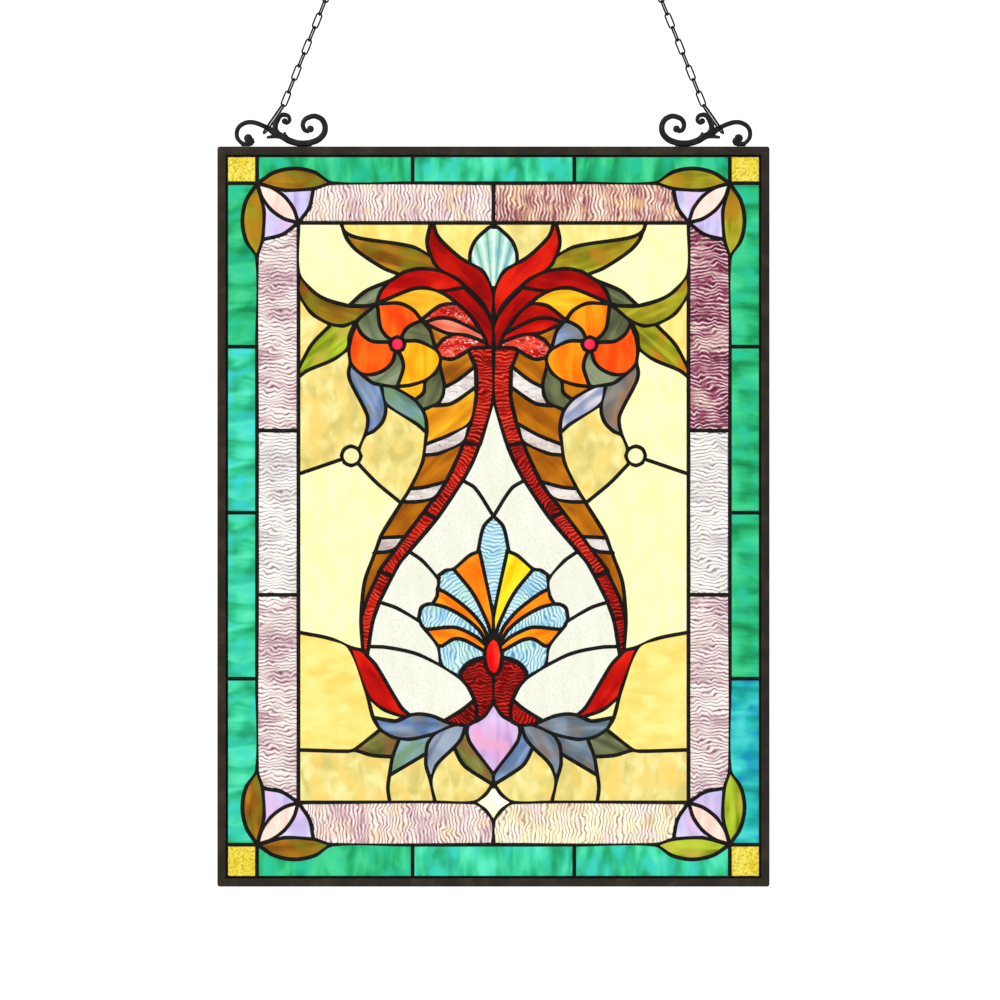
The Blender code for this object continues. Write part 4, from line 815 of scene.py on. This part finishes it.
def wave(finish, u, v):
    if finish == "ripple":
        sway = noise.noise(Vector((u * 60, v * 90, 3.1)))
        return math.sin(u * 2 * math.pi / (3.0 * MM) + 4.5 * sway)
    if finish == "crinkle":
        return 1 - 4 * abs(noise.noise(Vector((u * 190, v * 420, 7.7))))
    if finish == "hammered":
        return noise.noise(Vector((u * 420, v * 420, 1.3)))
    return noise.noise(Vector((u * 300, v * 300, 5.9)))


def key_of(x, y):
    return round(x, 6), round(y, 6)


def points_inside(loop, low, high, pitch):
    """Staggered rows of points inside an outline, and how far each lies from it."""
    grid = []
    depth = {}
    row = 0
    y = low.y
    while y < high.y:
        x = low.x + (pitch / 2 if row % 2 else 0)
        while x < high.x:
            place = Vector((x, y))
            if holds(loop, place):
                gap = edge_distance(loop, place)
                if gap > EDGE_CLEAR:
                    grid.append(place)
                    depth[key_of(x, y)] = gap
            x += pitch
        y += pitch * ROW_STEP
        row += 1
    return grid, depth


def hash_of(name, turn):
    total = turn * 37
    for letter in name:
        total = (total * 131 + ord(letter)) % 9973
    return total / 9973


def cut_piece(name, loop, spot, kind, grain):
    finish = STOCK[kind].get("finish", "smooth")
    if name.startswith(("roundel", "flower_jewel", "palmette_jewel")):
        finish = "dome"
    along = direction(loop, grain, spot)
    across = Vector((-along.y, along.x))
    low = Vector((min(p.x for p in loop), min(p.y for p in loop)))
    high = Vector((max(p.x for p in loop), max(p.y for p in loop)))
    fan = Vector((spot.x, low.y - FAN_BELOW * (high.y - low.y)))
    grid = []
    lift = None
    if finish in RELIEF:
        pitch, height = RELIEF[finish]
        grid, depth = points_inside(loop, low, high, pitch)
        size = max(depth.values()) if depth else MM

        def lift(place, front):
            gap = depth.get(key_of(place.x, place.y), 0.0)
            fade = min(1.0, gap / FADE)
            if not front:
                return 0.0
            if finish == "dome":
                return -DOME * math.sqrt(max(0.0, 1 - (1 - min(1, gap / size)) ** 2))
            if finish == "shell":
                angle = math.atan2(place.x - fan.x, place.y - fan.y)
                return -RIB_DEPTH * abs(math.cos(angle * RIBS)) * fade
            u = (place - spot).dot(along)
            v = (place - spot).dot(across)
            rise = height * (wave(finish, u, v) * 0.5 - 0.5) * fade
            return -rise - height * fade

    profile = [(ARRIS, -GLASS_HALF), (0, -GLASS_HALF + ARRIS), (0, GLASS_HALF - ARRIS), (ARRIS, GLASS_HALF)]
    piece = shaped(name, [inset(loop, -UNDER_SEAM)], profile, grid, lift)
    layer = piece.data.uv_layers.new(name="grain")
    shift = Vector((hash_of(name, 1), hash_of(name, 2))) * 40
    for corner in piece.data.loops:
        co = piece.data.vertices[corner.vertex_index].co
        flat = Vector((co.x, co.z)) - spot
        if finish == "shell":
            rib = math.atan2(co.x - fan.x, co.z - fan.y) * RIBS / math.pi
            spread = (rib + 0.5, flat.length * PER_UNIT)
        else:
            spread = (flat.dot(along) * PER_UNIT + shift.x, flat.dot(across) * PER_UNIT + shift.y)
        layer.data[corner.index].uv = spread
    piece.data.materials.append(glass[kind])
    soften(piece, 30)
    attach(piece, "root")
    return piece


def triangles(piece):
    return sum(len(face.vertices) - 2 for face in piece.data.polygons)


count = 0
for name, (loop, spot, kind, grain) in cut.items():
    piece = cut_piece(name, loop, spot, kind, grain)
    plate = plate_behind(spot)
    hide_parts(plate)
    count += triangles(piece)
print("glass triangles", count)

# %% [markdown]
# Copper foil is wrapped round the edge of every piece, and solder is run over it on both
# faces until it stands up as a rounded bead. The net is therefore an H in section: beads in
# front and behind, and a thin core between the pieces. It is one shaped piece, whose
# profile goes from the front bead, under its foot, along the core and up the back bead.
# %% Run the solder net
RIM_REACH = 0.25 * MM
SHOULDER = 2.62 * MM
FLANK = 2.2 * MM
bead = [(1.05, SEAM_TOP), (0.62, SHOULDER), (0.22, FLANK), (0.0, SEAM_FOOT), (0.68, SEAM_FOOT)]
profile = [(step * MM, -y) for step, y in bead] + [(step * MM, y) for step, y in reversed(bead)]
net_outlines = [inset(rim, -RIM_REACH)] + [loop[::-1] for loop in openings]
net = shaped("solder_seams", net_outlines, profile)
soften(net, 60)
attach(net, "root")
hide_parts("solder_net")
print("seam triangles", triangles(net))

# %% [markdown]
# Black patina turns bright solder nearly black. It is thinner on the high lumps, where
# cloths rub it, so soft noise moves the colour, the roughness and a shallow bump.
# %% Patinated metals
def metal(name, dark, worn, rough, metallic, lump, grain, glint=0.5):
    paint = Paint(name, metallic=metallic)
    paint.shader.inputs["Specular IOR Level"].default_value = glint
    where = paint.node("ShaderNodeTexCoord", None, None, "Object")
    lumps = paint.noise(where, lump, 3.0, 0.55, 0.2)
    pits = paint.noise(where, grain, 2.0, 0.6, 0.0)
    wear = paint.smooth_step(lumps * 0.7 + pits * 0.3, 0.42, 0.68)
    paint.feed("Base Color", paint.mix(wear, dark, worn))
    paint.feed("Roughness", rough + pits * 0.25)
    paint.feed("Normal", paint.bump(lumps * 0.8 + pits * 0.2, 0.35, 0.0006))
    return paint.material


patina = metal("black_patina", (0.002, 0.002, 0.002), (0.014, 0.012, 0.010), 0.30, 0.1, 260, 1500, 0.18)
bronze = metal("dark_bronze", (0.022, 0.016, 0.010), (0.050, 0.036, 0.022), 0.42, 0.2, 60, 1400, 0.25)
black_iron = metal("black_iron", (0.003, 0.003, 0.004), (0.018, 0.018, 0.022), 0.22, 0.3, 240, 1800, 0.4)
dark_steel = metal("dark_steel", (0.004, 0.004, 0.004), (0.030, 0.027, 0.024), 0.22, 0.8, 300, 1600)
net.data.materials.append(patina)
print("four metals mixed")

# %% [markdown]
# The frame is a metal channel with a U section, joined at the corners. By hand it starts
# as a block: its two faces are inset by the lip and bridged to open the window, the inner
# wall is cut twice, and its middle band is pushed outward to make the groove for the glass.
# %% Build the channel frame
LIP = 7.0 * MM
GROOVE = 1.8 * MM
GROOVE_DEEP = 5.5 * MM
CORNER_ROUND = 2.0 * MM
EDGE_WORN = 0.7 * MM
bpy.ops.mesh.primitive_cube_add(size=1, location=middle, scale=panel)
channel = bpy.context.object
channel.name = "channel_frame"
bpy.ops.object.transform_apply(location=True, rotation=True, scale=True)
bpy.ops.object.mode_set(mode="EDIT")


def choose(piece, test):
    shape = bmesh.from_edit_mesh(piece.data)
    for face in shape.faces:
        face.select_set(False)
    shape.select_flush(False)
    for face in shape.faces:
        if test(face):
            face.select_set(True)
    bmesh.update_edit_mesh(piece.data)
    return sum(face.select for face in shape.faces)


bpy.ops.mesh.select_mode(type="FACE")
choose(channel, lambda face: abs(face.normal.y) > 0.9)
bpy.ops.mesh.inset(thickness=LIP, use_individual=True)
window = (panel.x - 2 * LIP) * (panel.z - 2 * LIP)
choose(channel, lambda face: abs(face.normal.y) > 0.9 and face.calc_area() > 0.9 * window)
bpy.ops.mesh.bridge_edge_loops()


def inner_wall(face):
    centre = face.calc_center_median()
    inward_x = abs(centre.x - middle.x) < panel.x / 2 - MM
    inward_z = abs(centre.z - middle.z) < panel.z / 2 - MM
    return abs(face.normal.y) < 0.1 and inward_x and inward_z


for level in (-GROOVE, GROOVE):
    choose(channel, inner_wall)
    bpy.ops.mesh.bisect(plane_co=(0, level, 0), plane_no=(0, 1, 0))
picked = choose(channel, lambda face: inner_wall(face) and abs(face.calc_center_median().y) < GROOVE / 2)
outward = {"value": -GROOVE_DEEP, "use_even_offset": True}
bpy.ops.mesh.extrude_region_shrink_fatten(TRANSFORM_OT_shrink_fatten=outward)
bpy.ops.mesh.select_all(action="SELECT")
bpy.ops.mesh.remove_doubles(threshold=0.00001)
bpy.ops.mesh.normals_make_consistent(inside=False)
bpy.ops.object.mode_set(mode="OBJECT")
bpy.ops.object.mode_set(mode="EDIT")
bpy.ops.mesh.select_mode(type="EDGE")
shape = bmesh.from_edit_mesh(channel.data)
for line in shape.edges:
    centre = (line.verts[0].co + line.verts[1].co) / 2
    upright = abs(line.verts[0].co.y - line.verts[1].co.y) > panel.y * 0.9
    outer_x = abs(centre.x - middle.x) > panel.x / 2 - MM
    outer_z = abs(centre.z - middle.z) > panel.z / 2 - MM
    line.select_set(upright and outer_x and outer_z)
bmesh.update_edit_mesh(channel.data)
bpy.ops.mesh.bevel(offset=CORNER_ROUND, segments=4)
bpy.ops.object.mode_set(mode="OBJECT")
edge = channel.modifiers.new("worn edges", "BEVEL")
edge.width = EDGE_WORN
edge.segments = 3
edge.limit_method = "ANGLE"
pick(channel)
bpy.ops.object.modifier_apply(modifier="worn edges")
soften(channel, 40)
settle(channel)
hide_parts("frame")
channel.data.materials.append(bronze)
print("groove faces", picked, "frame box", [round(v / MM, 1) for v in channel.dimensions])

# %% [markdown]
# The scroll brackets are cast flat and finished with a file, so their edges are round and
# their curls end in small knobs. Their outline comes from the model, smoothed, and the
# profile takes the edges down in four steps.
# %% Cast the scroll brackets
round_edge = [(1.25, 2.25), (0.75, 2.08), (0.34, 1.7), (0.08, 1.15), (0.0, 0.5)]
cast_profile = [(step * MM, -y * MM) for step, y in round_edge]
cast_profile += [(step * MM, y * MM) for step, y in reversed(round_edge)]
for side in ("left", "right"):
    loops = [smoothed(loop, 1.4 * MM) for loop in outlines(nodes["bracket_" + side])]
    scroll = shaped("scroll_" + side, loops, cast_profile)
    soften(scroll, 55)
    scroll.data.materials.append(black_iron)
    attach(scroll, "root")
    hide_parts("bracket_" + side)
    print(scroll.name, len(scroll.data.polygons), "faces")

# %% [markdown]
# A chain link is a ring of wire with its two halves pulled apart. It is modelled once as a
# torus whose upper half is moved up, and then copied along the chain, every second link
# turned a quarter. The last link hangs in a round ring, where the hook goes.
# %% Make one link
CHAIN_LEAN = math.radians(21.8)
TWIST = math.radians(24)
LINKS = 10
LINK_PITCH = 11.6 * MM
LINK_WIDE = 6.4 * MM
LINK_WIRE = 1.5 * MM
RING_INSIDE = 12.0 * MM
RING_WIRE = 2.0 * MM
LONG_WIDE = 9.3 * MM
LONG_WIRE = 1.8 * MM


def link(name, inside, wide, wire):
    radius = (wide - wire) / 2
    pull = (inside + wire) / 2 - radius
    bpy.ops.mesh.primitive_torus_add(major_radius=radius, minor_radius=wire / 2, major_segments=24,
                                     minor_segments=12, rotation=(math.pi / 2, 0, 0))
    made = bpy.context.object
    made.name = name
    bpy.ops.object.transform_apply(location=True, rotation=True, scale=True)
    bpy.ops.object.mode_set(mode="EDIT")
    bpy.ops.mesh.select_mode(type="VERT")
    for up in (1, -1):
        shape = bmesh.from_edit_mesh(made.data)
        for vertex in shape.verts:
            vertex.select_set(vertex.co.z * up > 0.02 * MM)
        bmesh.update_edit_mesh(made.data)
        bpy.ops.transform.translate(value=(0, 0, up * pull))
    bpy.ops.object.mode_set(mode="OBJECT")
    soften(made, 60)
    return made


pattern = link("link_pattern", LINK_PITCH, LINK_WIDE, LINK_WIRE)
print("one link is", [round(v / MM, 1) for v in pattern.dimensions], "mm")

# %% [markdown]
# The chain's line is worked out from its hook: the ring's inner top is the origin of the
# part, and the links follow down the slope to the long link that grips the bracket.
# %% Hang the chains
up_left = Vector((math.sin(CHAIN_LEAN), 0, math.cos(CHAIN_LEAN)))
BRACKET_IN = 8.7 * MM
FOOT_GAP = 0.3 * MM
BITE = 0.45 * MM
start_x = panel_low.x + BRACKET_IN
top_z = panel_high.z + FOOT_GAP
staple_low = Vector((start_x + 29.6 * MM, 0, top_z + 10.7 * MM))
staple_high = Vector((start_x + 46 * MM, 0, top_z + 34.4 * MM))
first_link = staple_high + up_left * (LINK_PITCH / 2 - BITE)


def copied(source, name, move):
    """A copy with its own mesh, moved as the matrix says."""
    made = source.copy()
    made.data = source.data.copy()
    made.name = name
    bpy.context.scene.collection.objects.link(made)
    made.data.transform(move)
    made.data.update()
    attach(made, "root")
    return made


def laid_along(along, turned, centre):
    """The move that lays a link's long side along the chain, turned about it by an angle."""
    across = Vector((0, 1, 0)).cross(along).normalized()
    lean = Matrix((across, Vector((0, 1, 0)), along)).transposed().to_4x4()
    return Matrix.Translation(centre) @ lean @ Matrix.Rotation(turned, 4, "Z")


def flipped(source, name):
    mirror = Matrix.Translation((2 * middle.x, 0, 0)) @ Matrix.Scale(-1, 4, (1, 0, 0))
    made = copied(source, name, mirror)
    made.data.flip_normals()
    return made


lean = (staple_high - staple_low).normalized()
long_inside = (staple_high - staple_low).length - LONG_WIRE
long_pattern = link("long_link_pattern", long_inside, LONG_WIDE, LONG_WIRE)
long_middle = (staple_low + staple_high) / 2
straddling = laid_along(lean, math.pi / 2 - TWIST / 2, long_middle)
long_link = copied(long_pattern, "long_link_left", straddling)
hung = [(long_link, "long_link", "chain")]
for i in range(LINKS):
    turned = TWIST + (math.pi / 2 if i % 2 else 0)
    placed = laid_along(up_left, turned, first_link + up_left * LINK_PITCH * i)
    made = copied(pattern, f"link_{i}_left", placed)
    hung.append((made, f"link_{i}", "chain"))
ring_centre = -up_left * RING_INSIDE / 2
bpy.ops.mesh.primitive_torus_add(major_radius=(RING_INSIDE + RING_WIRE) / 2, minor_radius=RING_WIRE / 2,
                                 major_segments=40, minor_segments=14, location=ring_centre,
                                 rotation=(math.pi / 2, 0, 0))
ring = bpy.context.object
ring.name = "hook_ring_left"
soften(ring, 60)
settle(ring)
hung.append((ring, "hook_ring", "ring"))
for made, name, node in hung:
    made.data.materials.append(dark_steel)
    twin = flipped(made, name + "_right")
    for piece, side in ((made, "left"), (twin, "right")):
        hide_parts(f"{node}_{side}")
for source in (pattern, long_pattern):
    bpy.data.objects.remove(source, do_unlink=True)
print(2 * len(hung), "pieces of chain hung")

# %% [markdown]
# The photograph is taken straight on with a long lens, so the sides of the panel stay
# parallel. One pixel of it is 0.828 mm at the panel. The camera stands five metres away
# and a little right of and above the middle of the panel, and its lens follows from that.
# %% Set up the camera
PIXEL = 0.8284 * MM
VIEW_WIDE = 1000 * PIXEL
SENSOR = 36
AWAY = 5.0
HALF_PICTURE = 500
PANEL_ACROSS = 493.45
PANEL_DOWN = 516.55
centre_x = middle.x + (HALF_PICTURE - PANEL_ACROSS) * PIXEL
centre_z = middle.z + (PANEL_DOWN - HALF_PICTURE) * PIXEL
bpy.ops.object.camera_add(location=(centre_x, -AWAY, centre_z), rotation=(math.pi / 2, 0, 0))
camera = bpy.context.object
camera.data.sensor_width = SENSOR
camera.data.lens = SENSOR * AWAY / VIEW_WIDE
camera.data.clip_end = 50
bpy.context.scene.camera = camera
print("lens", round(camera.data.lens, 1), "mm")

# %% [markdown]
# A leaded window is seen by light that comes through it. The room is a plain white light
# box, brighter behind the panel than in front, so each sheet glows in its own colour. One
# soft lamp in front puts a gentle shine on the metal. The floor is plain and pale, well
# below the panel.
# %% Light the glass
BACK_GLOW = 1.22
FRONT_GLOW = 0.65
LAMP_WIDE = 1.2
LAMP_POWER = 18
LAMP_LEFT, LAMP_NEAR, LAMP_UP = 1.2, 2.0, 1.4
FLOOR_BELOW = 0.16
FLOOR_WIDE = 1.5
scene = bpy.context.scene
scene.view_settings.view_transform = "Standard"
scene.view_settings.look = "None"
world = bpy.data.worlds.new("light_box")
scene.world = world
world.use_nodes = True
sky = world.node_tree
heading = sky.nodes.new("ShaderNodeTexCoord")
parts = sky.nodes.new("ShaderNodeSeparateXYZ")
glow = sky.nodes.new("ShaderNodeMapRange")
glow.interpolation_type = "SMOOTHSTEP"
for label, value in (("From Min", -0.15), ("From Max", 0.15), ("To Min", FRONT_GLOW), ("To Max", BACK_GLOW)):
    glow.inputs[label].default_value = value
sky.links.new(heading.outputs["Generated"], parts.inputs["Vector"])
sky.links.new(parts.outputs["Y"], glow.inputs["Value"])
sky.links.new(glow.outputs["Result"], sky.nodes["Background"].inputs["Strength"])
sky.nodes["Background"].inputs["Color"].default_value = (1, 1, 1, 1)
lamp_place = (centre_x - LAMP_LEFT, -LAMP_NEAR, centre_z + LAMP_UP)
bpy.ops.object.light_add(type="AREA", location=lamp_place)
lamp = bpy.context.object
lamp.data.size = LAMP_WIDE
lamp.data.energy = LAMP_POWER
lamp.rotation_euler = (Vector((centre_x, 0, centre_z)) - lamp.location).to_track_quat("-Z", "Y").to_euler()
bpy.ops.mesh.primitive_plane_add(size=FLOOR_WIDE, location=(centre_x, 0, panel_low.z - FLOOR_BELOW))
floor = bpy.context.object
floor.name = "pale_floor"
pale = Paint("pale_floor", roughness=0.9, base_color=(0.93, 0.93, 0.93, 1))
floor.data.materials.append(pale.material)
print("floor at", round(floor.location.z, 3))
